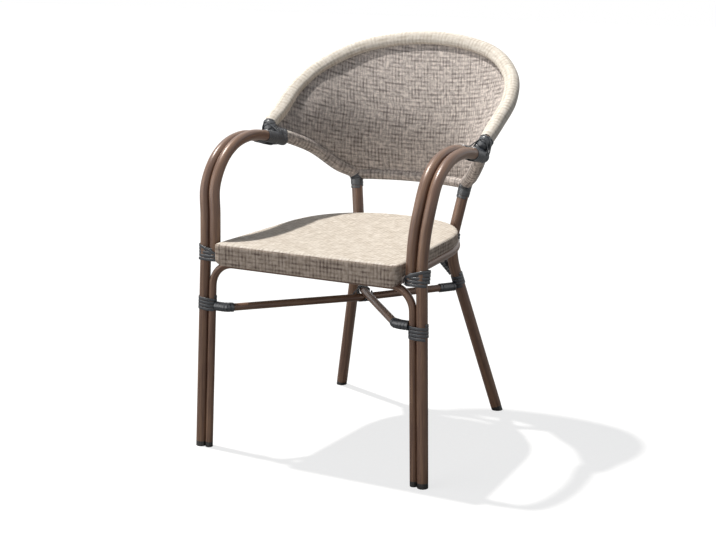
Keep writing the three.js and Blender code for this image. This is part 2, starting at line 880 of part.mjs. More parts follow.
// Seat screws stand upright through the seat rail into the seat frame.
const rightScrewPlaces = screwSetbacks.map((setback) => placeAlong(frameSide, 'y', setback));
const screwPlaces = { left: mirrored(rightScrewPlaces), right: rightScrewPlaces };
const allScrewPlaces = Object.values(screwPlaces).flat();

function screwHole(place, bottom, top) {
  const radius = screwHoleDiameter / 2;
  const bore = new THREE.CylinderGeometry(radius, radius, top - bottom, boreSides);
  bore.rotateX(Math.PI / 2);
  bore.translate(place.x, place.y, (bottom + top) / 2);
  return bore;
}

const railBottom = railHeight - railRadius;
const railHoles = allScrewPlaces.map((p) => screwHole(p, railBottom - overrun, seatTubeHeight));
const rail = tube(railPath, railRadius);
addPiece('seat_rail', carve([rail], [archCutter, ...railHoles]), tubeFinish);

const upperBarHalf = point(frameSide[0].x, seatBarSetback, seatTubeHeight);
const upperBarPath = [mirrored([upperBarHalf])[0], upperBarHalf];
const lowerBarHalf = point(
  seatFrontSpan / 2 - skirtCornerRadius,
  seatFront + skirtInset,
  skirtBottom + skirtInset,
);
const lowerBarPath = [mirrored([lowerBarHalf])[0], lowerBarHalf];
addPiece('seat_front_bar', tube(upperBarPath, seatTubeRadius), tubeFinish);
addPiece('seat_skirt_bar', tube(lowerBarPath, skirtTubeRadius), tubeFinish);
const longBarHalf = upperBarHalf.clone().add(point(overrun, 0, 0));
const longBar = [mirrored([longBarHalf])[0], longBarHalf];
const frameCutters = [copeCutter(longBar, seatTubeRadius), ...railHoles];
addPiece('seat_frame', carve([tube(framePath, seatTubeRadius)], frameCutters), tubeFinish);

for (const [side, places] of Object.entries(screwPlaces)) {
  places.forEach((place, index) => {
    const headTop = railBottom - clearance;
    const headBottom = headTop - screwHeadHeight;
    const profile = [
      [0, headBottom],
      [screwCrownShare * screwHeadDiameter, headBottom],
      [screwHeadDiameter / 2, headBottom + screwHeadHeight / 2],
      [screwHeadDiameter / 2, headTop],
      [screwDiameter / 2, headTop],
      [screwDiameter / 2, seatTubeHeight - screwDiameter / 2],
      [0, seatTubeHeight],
    ].map(([radius, height]) => new THREE.Vector2(radius, height));
    const screw = new THREE.LatheGeometry(profile, screwSides);
    screw.rotateX(Math.PI / 2);
    screw.translate(place.x, place.y, 0);
    addPiece(`seat_screw_${side}_${index + 1}`, screw, screwFinish);
  });
}

// Seat sling: one skin over the frame's top and round its tubes, with a deep skirt in front.
function seatSlab(inset, bottom, top, edge) {
  const right = insetSide(inset + edge);
  const left = right.slice(0, -1).map((p) => new THREE.Vector2(-p.x, p.y));
  const slab = new THREE.ExtrudeGeometry(new THREE.Shape([...right, ...left.reverse()]), {
    depth: top - bottom - 2 * edge,
    bevelEnabled: edge > 0,
    bevelThickness: edge,
    bevelSize: edge,
    bevelSegments: seatEdgeSteps,
  });
  slab.translate(0, 0, bottom + edge);
  return slab;
}

function skirtSlab(inset, top, edge) {
  const half = seatFrontSpan / 2 - inset - edge;
  const bottom = skirtBottom + inset + edge;
  const radius = skirtCornerRadius - inset - edge;
  const shape = new THREE.Shape();
  shape.moveTo(-half, top);
  shape.lineTo(-half, bottom + radius);
  shape.absarc(-half + radius, bottom + radius, radius, Math.PI, 1.5 * Math.PI);
  shape.absarc(half - radius, bottom + radius, radius, 1.5 * Math.PI, 2 * Math.PI);
  shape.lineTo(half, top);
  const slab = new THREE.ExtrudeGeometry(shape, {
    depth: skirtThickness - 2 * inset - 2 * edge,
    bevelEnabled: edge > 0,
    bevelThickness: edge,
    bevelSize: edge,
    bevelSegments: skirtEdgeSteps,
    curveSegments: skirtCornerSteps,
  });
  slab.rotateX(Math.PI / 2);
  slab.translate(0, skirtBack - inset - edge, 0);
  return slab;
}

const innerEdge = seatEdgeRadius - slingThickness;
const innerSkirtEdge = skirtEdgeRadius - slingThickness;
const seatOpening = seatSlab(seatHemWidth, seatBottom - overrun, seatTubeHeight, 0);
addPiece(
  'seat_sling',
  carve(
    [
      seatSlab(0, seatBottom, seatHeight, seatEdgeRadius),
      skirtSlab(0, seatTubeHeight, skirtEdgeRadius),
    ],
    [
      seatSlab(slingThickness, seatBottom + slingThickness, seatHeight - slingThickness, innerEdge),
      skirtSlab(slingThickness, seatTubeHeight, innerSkirtEdge),
      seatOpening,
      ...railHoles,
    ],
  ),
  slingFinish,
);

// Back sling: sleeves round the hoop and the lower rail, and the panel stretched between them.
const sleeveRadius = backRadius + clearance + slingThickness;
const sleeveHalf = backHalf.slice(cornerIndex);
const sleevePath = [...sleeveHalf, ...mirrored(sleeveHalf.slice(0, -1)).reverse()];

// Rows up the panel's side and columns along its top, counted in hoop stations
const panelRowStations = [0.8, 1.5, 2.3, 4.5, 6.2, 7.2, 8];
const panelColumnStations = [8.45, 8.9, 9.3, 9.65, 10];
const relaxingRounds = 400;
const hoopCurve = new THREE.CatmullRomCurve3(hoopKnots, false, 'centripetal');

function hoopPlace(station) {
  return hoopCurve.getPoint(station / (hoopKnots.length - 1));
}

// A grid between the four held edges, relaxed until each place is the mean of its neighbours
function panelGrid() {
  const rows = panelRowStations.length;
  const columns = 2 * panelColumnStations.length;
  const bottomCurve = new THREE.CatmullRomCurve3(backRailPath);
  const right = [cornerMiddle, ...panelRowStations.map(hoopPlace)];
  const left = mirrored(right);
  const topHalf = [right[rows], ...panelColumnStations.map(hoopPlace)];
  const top = [...topHalf, ...mirrored(topHalf.slice(0, -1)).reverse()];
  const bottom = top.map((place, column) => bottomCurve.getPoint(column / columns));
  const grid = right.map((start, row) => {
    const places = bottom.map((place, column) => between(place, top[column], row / rows));
    places[0] = start;
    places[columns] = left[row];
    return places;
  });
  grid[0] = bottom;
  grid[rows] = top;
  for (let round = 0; round < relaxingRounds; round++) {
    for (let row = 1; row < rows; row++) {
      for (let column = 1; column < columns; column++) {
        grid[row][column]
          .copy(grid[row - 1][column])
          .add(grid[row + 1][column])
          .add(grid[row][column - 1])
          .add(grid[row][column + 1])
          .divideScalar(4);
      }
    }
  }
  return grid;
}

function panelSkin() {
  const grid = panelGrid();
  const rows = grid.length;
  const columns = grid[0].length;
  const corners = [];
  for (const face of [-1, 1]) {
    for (let row = 0; row < rows; row++) {
      for (let column = 0; column < columns; column++) {
        const above = grid[Math.min(row + 1, rows - 1)][column];
        const up = above.clone().sub(grid[Math.max(row - 1, 0)][column]);
        const beside = grid[row][Math.min(column + 1, columns - 1)];
        const over = beside.clone().sub(grid[row][Math.max(column - 1, 0)]);
        const normal = over.cross(up).normalize();
        corners.push(grid[row][column].clone().addScaledVector(normal, (face * slingThickness) / 2));
      }
    }
  }
  const count = rows * columns;
  const faces = [];
  for (let row = 0; row < rows - 1; row++) {
    for (let column = 0; column < columns - 1; column++) {
      const a = row * columns + column;
      const b = a + 1;
      const c = b + columns;
      const d = a + columns;
      faces.push([a, c, b], [a, d, c], [count + a, count + b, count + c], [count + a, count + c, count + d]);
    }
  }
  const rim = [];
  for (let column = 0; column < columns - 1; column++) rim.push(column);
  for (let row = 0; row < rows - 1; row++) rim.push(row * columns + columns - 1);
  for (let column = columns - 1; column > 0; column--) rim.push((rows - 1) * columns + column);
  for (let row = rows - 1; row > 0; row--) rim.push(row * columns);
  rim.forEach((here, k) => {
    const next = rim[(k + 1) % rim.length];
    faces.push([here, next, count + next], [here, count + next, count + here]);
  });
  return facesToGeometry(corners, faces);
}

const armCutters = Object.values(hands).flatMap((hand) => {
  const ends = [outerArmPath, innerArmPath].map((path) => handed(path.slice(-4), hand));
  return ends.map((path) => copeCutter(path, armRadius));
});
addPiece(
  'back_sling',
  carve(
    [
      roomyTube(sleevePath, sleeveRadius, sleeveSides),
      roomyTube(backRailPath, backRailRadius + clearance + slingThickness, sleeveSides),
      panelSkin(),
    ],
    [
      roomyTube(backFramePath, backRadius + clearance, sleeveSides),
      roomyTube(backRailPath, backRailRadius + clearance, sleeveSides),
      bindings.arm_binding_left.envelope(),
      bindings.arm_binding_right.envelope(),
      ...cornerCutters,
      ...armCutters,
    ],
  ),
  slingFinish,
);

// Foot glides: a plug in the tube's end over a foot of the tube's size, cut flat where it stands.
function glide(foot, axis, radius) {
  const plugRadius = (radius - tubeWall) * Math.cos(Math.PI / boreSides) - glideGrip;
  const profile = [
    [0, -radius],
    [radius, -radius],
    [radius, glideHeight - clearance],
    [plugRadius, glideHeight - clearance],
    [plugRadius, glideHeight + glidePlugLength],
    [0, glideHeight + glidePlugLength],
  ].map(([r, height]) => new THREE.Vector2(r, height));
  const body = new THREE.LatheGeometry(profile, tubeSides);
  body.applyQuaternion(new THREE.Quaternion().setFromUnitVectors(point(0, 1, 0), axis));
  body.translate(foot.x, foot.y, foot.z);
  const floor = new THREE.BoxGeometry(2 * overrun, 2 * overrun, overrun);
  floor.translate(foot.x, foot.y, -overrun / 2);
  return carve([body], [floor]);
}

const feet = {
  front: [frontFoot, frontLegDirection, armRadius],
  arch: [archFoot, frontLegDirection, thinRadius],
  back: [backFoot, direction(backFoot, backKnee), backRadius],
};

for (const [side, hand] of Object.entries(hands)) {
  for (const [leg, [foot, axis, radius]] of Object.entries(feet)) {
    const [place, way] = handed([foot, axis], hand);
    addPiece(`${leg}_glide_${side}`, glide(place, way, radius), glideFinish);
  }
}

// The chair's own point is the middle of its footprint, on the floor.
const bounds = new THREE.Box3().setFromObject(chair);
const middle = bounds.getCenter(new THREE.Vector3());
chair.position.set(-middle.x, -middle.y, -bounds.min.z);

export default chair;
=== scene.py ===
# %% [markdown]
# # A rattan bistro armchair
# The chair is a frame of bent tubes painted like cane, a seat and a barrel back of woven sling
# fabric, and flat black strands bound round the joints. Its construction comes from a packed
# model, which is loaded here and never moved. This lesson gives that frame its looks: finer
# tubes, stretched cloth, rounded strands, and a material for each surface. Units are metres.

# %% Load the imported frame
import bisect
import json
import math

import bmesh
import bpy
from mathutils import Matrix, Vector

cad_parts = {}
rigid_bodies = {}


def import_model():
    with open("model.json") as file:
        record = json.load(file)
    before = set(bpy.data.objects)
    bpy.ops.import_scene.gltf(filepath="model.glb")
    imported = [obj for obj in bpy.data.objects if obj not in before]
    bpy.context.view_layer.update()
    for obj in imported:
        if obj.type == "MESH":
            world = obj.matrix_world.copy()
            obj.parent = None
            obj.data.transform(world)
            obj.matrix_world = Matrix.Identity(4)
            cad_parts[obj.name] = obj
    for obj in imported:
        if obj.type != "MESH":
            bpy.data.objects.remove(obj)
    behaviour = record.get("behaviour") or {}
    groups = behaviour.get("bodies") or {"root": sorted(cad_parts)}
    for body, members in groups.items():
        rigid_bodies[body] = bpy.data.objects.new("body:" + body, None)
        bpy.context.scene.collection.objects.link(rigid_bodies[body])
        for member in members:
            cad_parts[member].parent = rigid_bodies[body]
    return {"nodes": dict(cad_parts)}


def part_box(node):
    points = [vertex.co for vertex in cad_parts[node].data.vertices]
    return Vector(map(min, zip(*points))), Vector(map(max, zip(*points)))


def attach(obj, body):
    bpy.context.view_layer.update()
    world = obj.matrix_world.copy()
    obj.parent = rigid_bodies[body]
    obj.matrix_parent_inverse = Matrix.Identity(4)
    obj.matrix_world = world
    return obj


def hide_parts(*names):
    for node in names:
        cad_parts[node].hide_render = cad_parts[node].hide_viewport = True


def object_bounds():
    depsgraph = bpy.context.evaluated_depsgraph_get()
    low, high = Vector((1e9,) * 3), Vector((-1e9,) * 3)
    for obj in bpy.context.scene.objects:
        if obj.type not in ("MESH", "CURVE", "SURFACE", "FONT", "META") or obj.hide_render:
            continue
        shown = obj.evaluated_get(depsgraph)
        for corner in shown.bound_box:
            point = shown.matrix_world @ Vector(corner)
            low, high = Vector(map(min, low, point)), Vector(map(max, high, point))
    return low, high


for leftover in list(bpy.data.objects):
    bpy.data.objects.remove(leftover)


def added(name, data):
    """A new object of the scene that shows the data."""
    item = bpy.data.objects.new(name, data)
    bpy.context.scene.collection.objects.link(item)
    return item


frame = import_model()
cad_low, cad_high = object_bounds()
print("The frame has", len(frame["nodes"]), "nodes, from", cad_low[:], "to", cad_high[:])

# %% [markdown]
# ## The camera
# The photograph looks at the chair from its front right, a little from above, through a long
# lens. Places are measured from between the front feet, whose line is found from the overhang
# of the seat's front edge, so the camera stays with the chair.

# %% Set the camera
SEAT_OVERHANG = 0.0126
FOOT_LINE = cad_low.y + SEAT_OVERHANG


def spot(across, setback, height):
    """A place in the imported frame, measured from between the front feet."""
    return Vector((across, FOOT_LINE + setback, height))


PHOTO_WIDTH = 716
FOCUS_PIXELS = 1501.7
VIEW_AZIMUTH = math.radians(28.185)
VIEW_ELEVATION = math.radians(13.417)
CAMERA_PLACE = spot(1.4826, -2.5454, 1.1198)

camera_data = bpy.data.cameras.new("photo_camera")
camera_data.sensor_width = 36
camera_data.lens = camera_data.sensor_width * FOCUS_PIXELS / PHOTO_WIDTH
camera = added("photo_camera", camera_data)
camera.location = CAMERA_PLACE
camera.rotation_euler = (math.pi / 2 - VIEW_ELEVATION, 0, VIEW_AZIMUTH)
bpy.context.scene.camera = camera
print("Lens:", round(camera_data.lens, 2), "mm")

# %% [markdown]
# ## Wiring materials by hand
# Every finish below is a small tree of shader nodes. A few helpers keep the wiring readable:
# they place a node, fill or link its inputs by name, and do arithmetic.


# %% Helpers for shader nodes
def fill(tree, node, inputs):
    """Fills a node's inputs. Each takes a value, or a socket to link."""
    for name, value in inputs.items():
        if isinstance(value, bpy.types.NodeSocket):
            tree.links.new(value, node.inputs[name])
        else:
            node.inputs[name].default_value = value


def put(tree, kind, inputs=None, **settings):
    """Adds a node to the tree and fills its inputs."""
    node = tree.nodes.new(kind)
    for name, value in settings.items():
        setattr(node, name, value)
    fill(tree, node, inputs or {})
    return node


def sums(tree, operation, first, second=0.0, third=0.0):
    """One step of arithmetic, and the socket with its result."""
    parts = {0: first, 1: second, 2: third}
    return put(tree, "ShaderNodeMath", parts, operation=operation).outputs[0]


def ranged(tree, value, low, high):
    """How far a value has come from low to high, between 0 and 1."""
    limits = {"Value": value, "From Min": low, "From Max": high}
    return put(tree, "ShaderNodeMapRange", limits).outputs[0]


def noise(tree, place, scale, detail, roughness=0.5):
    look = {"Vector": place, "Scale": scale, "Detail": detail, "Roughness": roughness}
    return put(tree, "ShaderNodeTexNoise", look).outputs[0]


def blend_colours(tree, share, first, second):
    mix = put(tree, "ShaderNodeMix", {0: share, 6: first, 7: second}, data_type="RGBA")
    return mix.outputs[2]


def colour(hex_code):
    """A written colour, such as 0x594539, as the linear values that a shader reads."""
    parts = [(hex_code >> shift & 255) / 255 for shift in (16, 8, 0)]
    return tuple(p / 12.92 if p <= 0.04045 else ((p + 0.055) / 1.055) ** 2.4 for p in parts) + (1,)


def new_group(name, inputs, outputs):
    """An empty node group with named sockets."""
    group = bpy.data.node_groups.new(name, "ShaderNodeTree")
    for way, sockets in (("INPUT", inputs), ("OUTPUT", outputs)):
        for socket_name, kind in sockets.items():
            group.interface.new_socket(socket_name, in_out=way, socket_type=f"NodeSocket{kind}")
    entry = group.nodes.new("NodeGroupInput")
    return group, entry.outputs, group.nodes.new("NodeGroupOutput")


def new_material(name):
    """A material with its Principled shader, which the finish then feeds."""
    material = bpy.data.materials.new(name)
    material.use_nodes = True
    return material, material.node_tree, material.node_tree.nodes["Principled BSDF"]


# Where a finish lies: the kind of node, its output and its settings
ALONG_TUBE = ("ShaderNodeAttribute", "Vector", {"attribute_name": "cane"})
IN_OBJECT = ("ShaderNodeTexCoord", "Object", {})
ON_CLOTH = ("ShaderNodeUVMap", "UV", {"uv_map": "flat"})


def finished(name, group, lies, inputs, relief, shine):
    """A material that takes its colour, its relief and any roughness from a group."""
    material, tree, shader = new_material(name)
    kind, output, settings = lies
    place = put(tree, kind, **settings).outputs[output]
    surface = put(tree, "ShaderNodeGroup", {"Place": place} | inputs, node_tree=group).outputs
    bump = {"Height": surface["Height"], "Strength": relief[0], "Distance": relief[1]}
    look = {"Base Color": surface["Colour"], "Normal": put(tree, "ShaderNodeBump", bump).outputs[0]}
    if "Roughness" in surface:
        look["Roughness"] = surface["Roughness"]
    fill(tree, shader, look | shine)
    return material


# %% [markdown]
# ## The cane paint
# The tubes are metal, sprayed brown and then brushed lengthwise so that they pass for cane.
# A streak is therefore a noise that is stretched along the tube. Each tube carries an attribute
# named cane, which holds where a point lies round the tube and how far along it is, so the
# streaks follow every bend and meet without a seam.


# %% The group that streaks the paint
PAINT_OUTPUTS = {"Colour": "Color", "Roughness": "Float", "Height": "Float"}
STREAK_RANGE = (0.38, 0.68)
CLOUD_RANGE = (0.35, 0.7)
STREAK_PART = 0.65
CLOUD_PART = 0.35
PAINT_ROUGHNESS = 0.34
STREAK_ROUGHNESS = 0.16

inputs = {"Place": "Vector", "Base": "Color", "Streak": "Color"}
group, entry, result = new_group("cane paint", inputs, PAINT_OUTPUTS)
stretched = put(group, "ShaderNodeMapping", {"Vector": entry["Place"], "Scale": (1, 1, 0.035)})
streaks = noise(group, stretched.outputs[0], 240, 4, 0.6)
cloudy = put(group, "ShaderNodeMapping", {"Vector": entry["Place"], "Scale": (1, 1, 0.3)})
clouds = noise(group, cloudy.outputs[0], 45, 2)
streak_share = ranged(group, streaks, *STREAK_RANGE)
clouded = sums(group, "MULTIPLY", ranged(group, clouds, *CLOUD_RANGE), CLOUD_PART)
share = sums(group, "MULTIPLY_ADD", streak_share, STREAK_PART, clouded)
shade = blend_colours(group, share, entry["Base"], entry["Streak"])
rough = sums(group, "MULTIPLY_ADD", streak_share, STREAK_ROUGHNESS, PAINT_ROUGHNESS)
fill(group, result, {"Colour": shade, "Roughness": rough, "Height": streaks})
cane_paint = group


# %% The materials of the tubes
def painted_tube(name, base, streak, lies):
    shades = {"Base": colour(base), "Streak": colour(streak)}
    shine = {"Metallic": 0.15, "Coat Weight": 0.2, "Coat Roughness": 0.28}
    return finished(name, cane_paint, lies, shades, (0.25, 0.0006), shine)


tube_material = painted_tube("painted cane tube", 0x62483D, 0x907058, ALONG_TUBE)
hidden_tube_material = painted_tube("painted hidden tube", 0x5C463C, 0x735A4C, IN_OBJECT)

# %% [markdown]
# ## The sling cloth
# Sling fabric is a plain weave of flat coated yarns. From a step away it shows a small
# crosshatch: thin dark gaps run between the yarns, and each comes and goes along its length.
# Within a yarn, finer threads vary a little in shade. The group works on a flat map in metres,
# so the yarns keep their size on every piece.


# %% The group that weaves the cloth
YARN_STEP = 0.63
THREADS_A_YARN = 4
GAP_SHADES = (0.36, 0.72)
GAP_REACH = (0.36, 0.05)
YARN_SHADES = (0.43, 0.57)
WARP_GAP_SHARE = 0.9
# For each set of yarns: the way across it, the way along it, and where its noises start
YARN_SETS = {"Warp": ("X", "Y", 17.3, 43.1), "Weft": ("Y", "X", 91.7, 66.9)}


def slow_noise(tree, number, along, offset, detail):
    """A shade that differs from yarn to yarn and changes slowly along each."""
    row = sums(tree, "MULTIPLY_ADD", number, YARN_STEP, offset)
    place = put(tree, "ShaderNodeCombineXYZ", {"X": row, "Y": along})
    return noise(tree, place.outputs[0], 1, detail, 0.6)


def dark_gaps(tree, across, along, offset):
    """The dark gaps beside one set of yarns: sharp across, slow along."""
    shade = slow_noise(tree, sums(tree, "ROUND", across), along, offset, 1.5)
    beside = sums(tree, "PINGPONG", across, 0.5)
    return sums(tree, "MULTIPLY", ranged(tree, shade, *GAP_SHADES), ranged(tree, beside, *GAP_REACH))


def fine_threads(tree, across, along, offset):
    """The shade of the four threads in each yarn."""
    number = sums(tree, "FLOOR", sums(tree, "MULTIPLY", across, THREADS_A_YARN))
    return slow_noise(tree, number, sums(tree, "MULTIPLY", along, 2), offset, 2)


yarns = {"Place": "Vector", "Warp": "Float", "Weft": "Float", "Dash": "Float"}
shades = {"Light": "Color", "Middle": "Color", "Dark": "Color"}
outputs = {"Colour": "Color", "Height": "Float"}
group, entry, result = new_group("woven yarns", yarns | shades, outputs)
split = put(group, "ShaderNodeSeparateXYZ", {"Vector": entry["Place"]}).outputs
gaps, threads = [], []
for pitch, (side, length, gap_start, thread_start) in YARN_SETS.items():
    across = sums(group, "DIVIDE", split[side], entry[pitch])
    along = sums(group, "DIVIDE", split[length], entry["Dash"])
    gaps.append(dark_gaps(group, across, along, gap_start))
    threads.append(fine_threads(group, across, along, thread_start))
shade = sums(group, "MULTIPLY", sums(group, "ADD", *threads), 0.5)
tint = blend_colours(group, ranged(group, shade, *YARN_SHADES), entry["Middle"], entry["Light"])
both_gaps = sums(group, "MULTIPLY_ADD", gaps[0], WARP_GAP_SHARE, gaps[1])
dark = sums(group, "MINIMUM", both_gaps, 1.0)
tint = blend_colours(group, dark, tint, entry["Dark"])
fill(group, result, {"Colour": tint, "Height": sums(group, "SUBTRACT", shade, dark)})
woven = group
YARNS = {"Warp": 0.0080, "Weft": 0.0094, "Dash": 0.03}


# %% The materials of the cloth
def sling_cloth(name, light, middle, dark):
    shades = {"Light": colour(light), "Middle": colour(middle), "Dark": colour(dark)}
    shine = {"Roughness": 0.78, "Specular IOR Level": 0.3}
    return finished(name, woven, ON_CLOTH, YARNS | shades, (0.3, 0.0006), shine)


# The back's copy of the fabric, darker and cooler in its middle and gaps than the seat's: painted
# shade for the back, which stands mostly in shade.
shaded_back_cloth = sling_cloth("back sling cloth, painted shade", 0xD9CEC6, 0xA89F9A, 0x7A726E)
# A lighter copy of the back's fabric for the sleeves' rim: painted light.
lit_sleeve_cloth = sling_cloth("back sleeve cloth, painted light", 0xEBE4DA, 0xDBD2C5, 0xC8BDAF)
# The seat top's copy of the fabric, its gaps paler than the skirt's: painted light, the weave washed
# out in the sun.
sunlit_seat_cloth = sling_cloth("seat sling cloth, painted light", 0xD9D1C7, 0xC8BEB1, 0xA99D8F)
# A darker copy of the fabric for the seat's sides and skirt: painted shade.
shaded_skirt_cloth = sling_cloth("seat skirt cloth, painted shade", 0xC0B1A4, 0xA19284, 0x695B53)

# %% [markdown]
# ## Strands, glides and screws
# The bound strands are flat plastic, almost black, with a soft shine that picks out their
# rounded edges. The glides are matte black plastic, and the seat screws are plain steel. Fine
# noise breaks the shine of all three.


# %% The group that breaks a smooth surface
SCUFF_RANGE = (0.45, 0.75)
SMOOTH_ROUGHNESS = 0.2
SCUFF_ROUGHNESS = 0.3

inputs = {"Place": "Vector", "Size": "Float", "Base": "Color", "Worn": "Color"}
group, entry, result = new_group("scuffs", inputs, PAINT_OUTPUTS)
fine = noise(group, entry["Place"], entry["Size"], 5)
shade = blend_colours(group, ranged(group, fine, *SCUFF_RANGE), entry["Base"], entry["Worn"])
rough = sums(group, "MULTIPLY_ADD", fine, SCUFF_ROUGHNESS, SMOOTH_ROUGHNESS)
fill(group, result, {"Colour": shade, "Roughness": rough, "Height": fine})
scuffs = group


# %% The materials of strands, glides and screws
def scuffed(name, base, worn, size, metallic=0.0):
    shades = {"Size": size, "Base": colour(base), "Worn": colour(worn)}
    shine = {"Metallic": metallic, "Specular IOR Level": 1.0}
    return finished(name, scuffs, IN_OBJECT, shades, (0.2, 0.0004), shine)


strand_material = scuffed("bound strand", 0x25292F, 0x3E434B, 900)
glide_material = scuffed("glide plastic", 0x1F1D1C, 0x34312F, 500)
screw_material = scuffed("screw steel", 0x9B9892, 0xB6B3AD, 1200, metallic=0.9)

# %% [markdown]
# ## Routes
# The frame's tubes follow two kinds of route: straight runs joined by round bends, and smooth
# curves through a few stations. Both are made here again with more places, so that the finer
# tubes lie exactly in the frame's. The chair's left and right halves mirror each other.


# %% Helpers for routes
BEND_STEP = math.radians(5)
LEAST_STEP = 1e-4


def mirrored(places):
    return [Vector((-place.x, place.y, place.z)) for place in places]


def handed(places, hand):
    return list(places) if hand > 0 else mirrored(places)


def there_and_back(half):
    """A route over the middle: one half, then its mirror image the other way round."""
    return half + mirrored(half[:-1])[::-1]


def bent_route(corners, radii):
    """Straight runs joined by bends, each of its own radius."""
    route = [corners[0]]
    for index, radius in enumerate(radii, start=1):
        corner = corners[index]
        inward = (corners[index - 1] - corner).normalized()
        onward = (corners[index + 1] - corner).normalized()
        turn = math.pi - inward.angle(onward)
        start = corner + inward * radius * math.tan(turn / 2)
        centre = corner + (inward + onward).normalized() * radius / math.cos(turn / 2)
        axis = onward.cross(inward)
        steps = max(2, 2 * math.ceil(turn / BEND_STEP / 2))
        for step in range(steps + 1):
            spoke = Matrix.Rotation(turn * step / steps, 3, axis) @ (start - centre)
            route.append(centre + spoke)
    return route + [corners[-1]]


def smooth_route(knots, steps=14):
    """A smooth curve through the knots, whose speed follows the room between them."""
    padded = [2 * knots[0] - knots[1], *knots, 2 * knots[-1] - knots[-2]]
    route = []
    for before, start, end, after in zip(padded, padded[1:], padded[2:], padded[3:]):
        ways = (start - before, end - start, after - end)
        first, middle, last = [math.sqrt(way.length) for way in ways]
        leave = (start - before) / first - (end - before) / (first + middle) + (end - start) / middle
        arrive = (end - start) / middle - (after - start) / (middle + last) + (after - end) / last
        leave, arrive = leave * middle, arrive * middle
        for step in range(steps):
            t = step / steps
            bow = (2 * start - 2 * end + leave + arrive) * t + 3 * end - 3 * start - 2 * leave - arrive
            route.append(start + leave * t + bow * t * t)
    return route + [knots[-1]]


def drawn_curve(pulls, t):
    """A place on the curve that leaves the first place and is drawn by the others to the last."""
    while len(pulls) > 1:
        pulls = [here.lerp(onward, t) for here, onward in zip(pulls, pulls[1:])]
    return pulls[0]


def distances_along(route):
    run = [0.0]
    for here, onward in zip(route, route[1:]):
        run.append(run[-1] + (onward - here).length)
    return run


def place_at(route, run, distance):
    """The place on a route that lies this far from its start."""
    index = min(bisect.bisect_left(run, distance, 1), len(route) - 1)
    share = (distance - run[index - 1]) / (run[index] - run[index - 1])
    return route[index - 1].lerp(route[index], min(1.0, max(0.0, share)))


def crossing(route, axis, value):
    """The first place where a route reaches a height or setback."""
    for here, onward in zip(route, route[1:]):
        reach = onward[axis] - here[axis]
        if reach and 0 <= (value - here[axis]) / reach <= 1:
            return here.lerp(onward, (value - here[axis]) / reach)
    return route[-1]


def trimmed(route, head, tail):
    """A route without its first and last stretch."""
    run = distances_along(route)
    first, last = head + LEAST_STEP, run[-1] - tail - LEAST_STEP
    kept = [place for place, distance in zip(route, run) if first < distance < last]
    return [place_at(route, run, head), *kept, place_at(route, run, run[-1] - tail)]


# %% [markdown]
# ## Sweeping a tube
# One ring of vertices is made at the start of the route. Each step extrudes it and turns it
# into the next place, with as little twist as the bend allows, so no facet winds round the
# tube. The cane attribute is written as the rings are laid.


# %% A finished piece, and the sweep
def shown(edit, name, material):
    """Turns a bmesh into an object with a material."""
    mesh = bpy.data.meshes.new(name)
    edit.to_mesh(mesh)
    edit.free()
    mesh.materials.append(material)
    return added(name, mesh)


def finish_piece(edit, name, material, *replaced):
    """Turns a bmesh into a piece that rides on the chair and stands for frame nodes."""
    for face in edit.faces:
        face.smooth = True
    piece = shown(edit, name, material)
    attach(piece, "root")
    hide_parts(*replaced)
    return piece


def extruded(edit, edges):
    """Extrudes open edges, and gives the new vertices and the new open edges."""
    made = bmesh.ops.extrude_edge_only(edit, edges=edges)["geom"]
    verts = [item for item in made if isinstance(item, bmesh.types.BMVert)]
    edges = [item for item in made if isinstance(item, bmesh.types.BMEdge) and item.is_boundary]
    return verts, edges


def swept_tube(route, radius, sides=28):
    edit = bmesh.new()
    cane = edit.verts.layers.float_vector.new("cane")
    tangent = (route[1] - route[0]).normalized()
    turn = Vector((0, 0, 1)).rotation_difference(tangent)
    place = Matrix.Translation(route[0]) @ turn.to_matrix().to_4x4()
    bmesh.ops.create_circle(edit, cap_ends=True, segments=sides, radius=radius, matrix=place)
    ring = list(edit.verts)
    for vert in ring:
        vert[cane] = place.inverted() @ vert.co
    edges = list(edit.edges)
    for edge in edges:
        edge.smooth = False
    run = 0
    for index in range(1, len(route)):
        before = (route[index] - route[index - 1]).normalized()
        after = (route[min(index + 1, len(route) - 1)] - route[index]).normalized() or before
        onward = (before + after).normalized()
        turn = tangent.rotation_difference(onward) @ turn
        tangent = onward
        next_place = Matrix.Translation(route[index]) @ turn.to_matrix().to_4x4()
        ring, edges = extruded(edit, edges)
        bmesh.ops.transform(edit, matrix=next_place @ place.inverted(), verts=ring)
        run += (route[index] - route[index - 1]).length
        for vert in ring:
            vert[cane] = (vert[cane].x, vert[cane].y, run)
        place = next_place
    for edge in edges:
        edge.smooth = False
    bmesh.ops.edgeloop_fill(edit, edges=edges)
    bmesh.ops.recalc_face_normals(edit, faces=edit.faces)
    return edit


def finish_tube(route, radius, node):
    """A finer tube that stands for one of the frame's."""
    finish_piece(swept_tube(route, radius), f"{node}_fine", tube_material, node)


# %% [markdown]
# ## The front legs and arms
# One tube on each side stands on the floor, leans in to the seat, bulges out above it and bends
# back into the arm. A second tube starts at the seat and runs side by side with it. A driving
# size is written once, as in the frame, and the stations up the arm are shares of those sizes.

# %% The chair's driving sizes
ARM_RADIUS = 0.0115
BACK_RADIUS = 0.0125
THIN_RADIUS = 0.008
RAIL_RADIUS = 0.0105
CLEARANCE = 0.0003
FOOT_SPAN = 0.530
BINDING_LEVEL = 0.430
LEAN_IN = 0.0133
LEAN_BACK = 0.015
ARM_SPAN = 0.520
ARM_LENGTH = 0.268
ARM_TOP = 0.649
ARM_STAGGER = 0.003
INNER_ARM_BOTTOM = 0.409
OUTER_ARM_REACH = 0.022
INNER_ARM_REACH = 0.034
INNER_ARM_LAG = 0.01
OVERRUN = 0.04
GLIDE_HEIGHT = 0.011

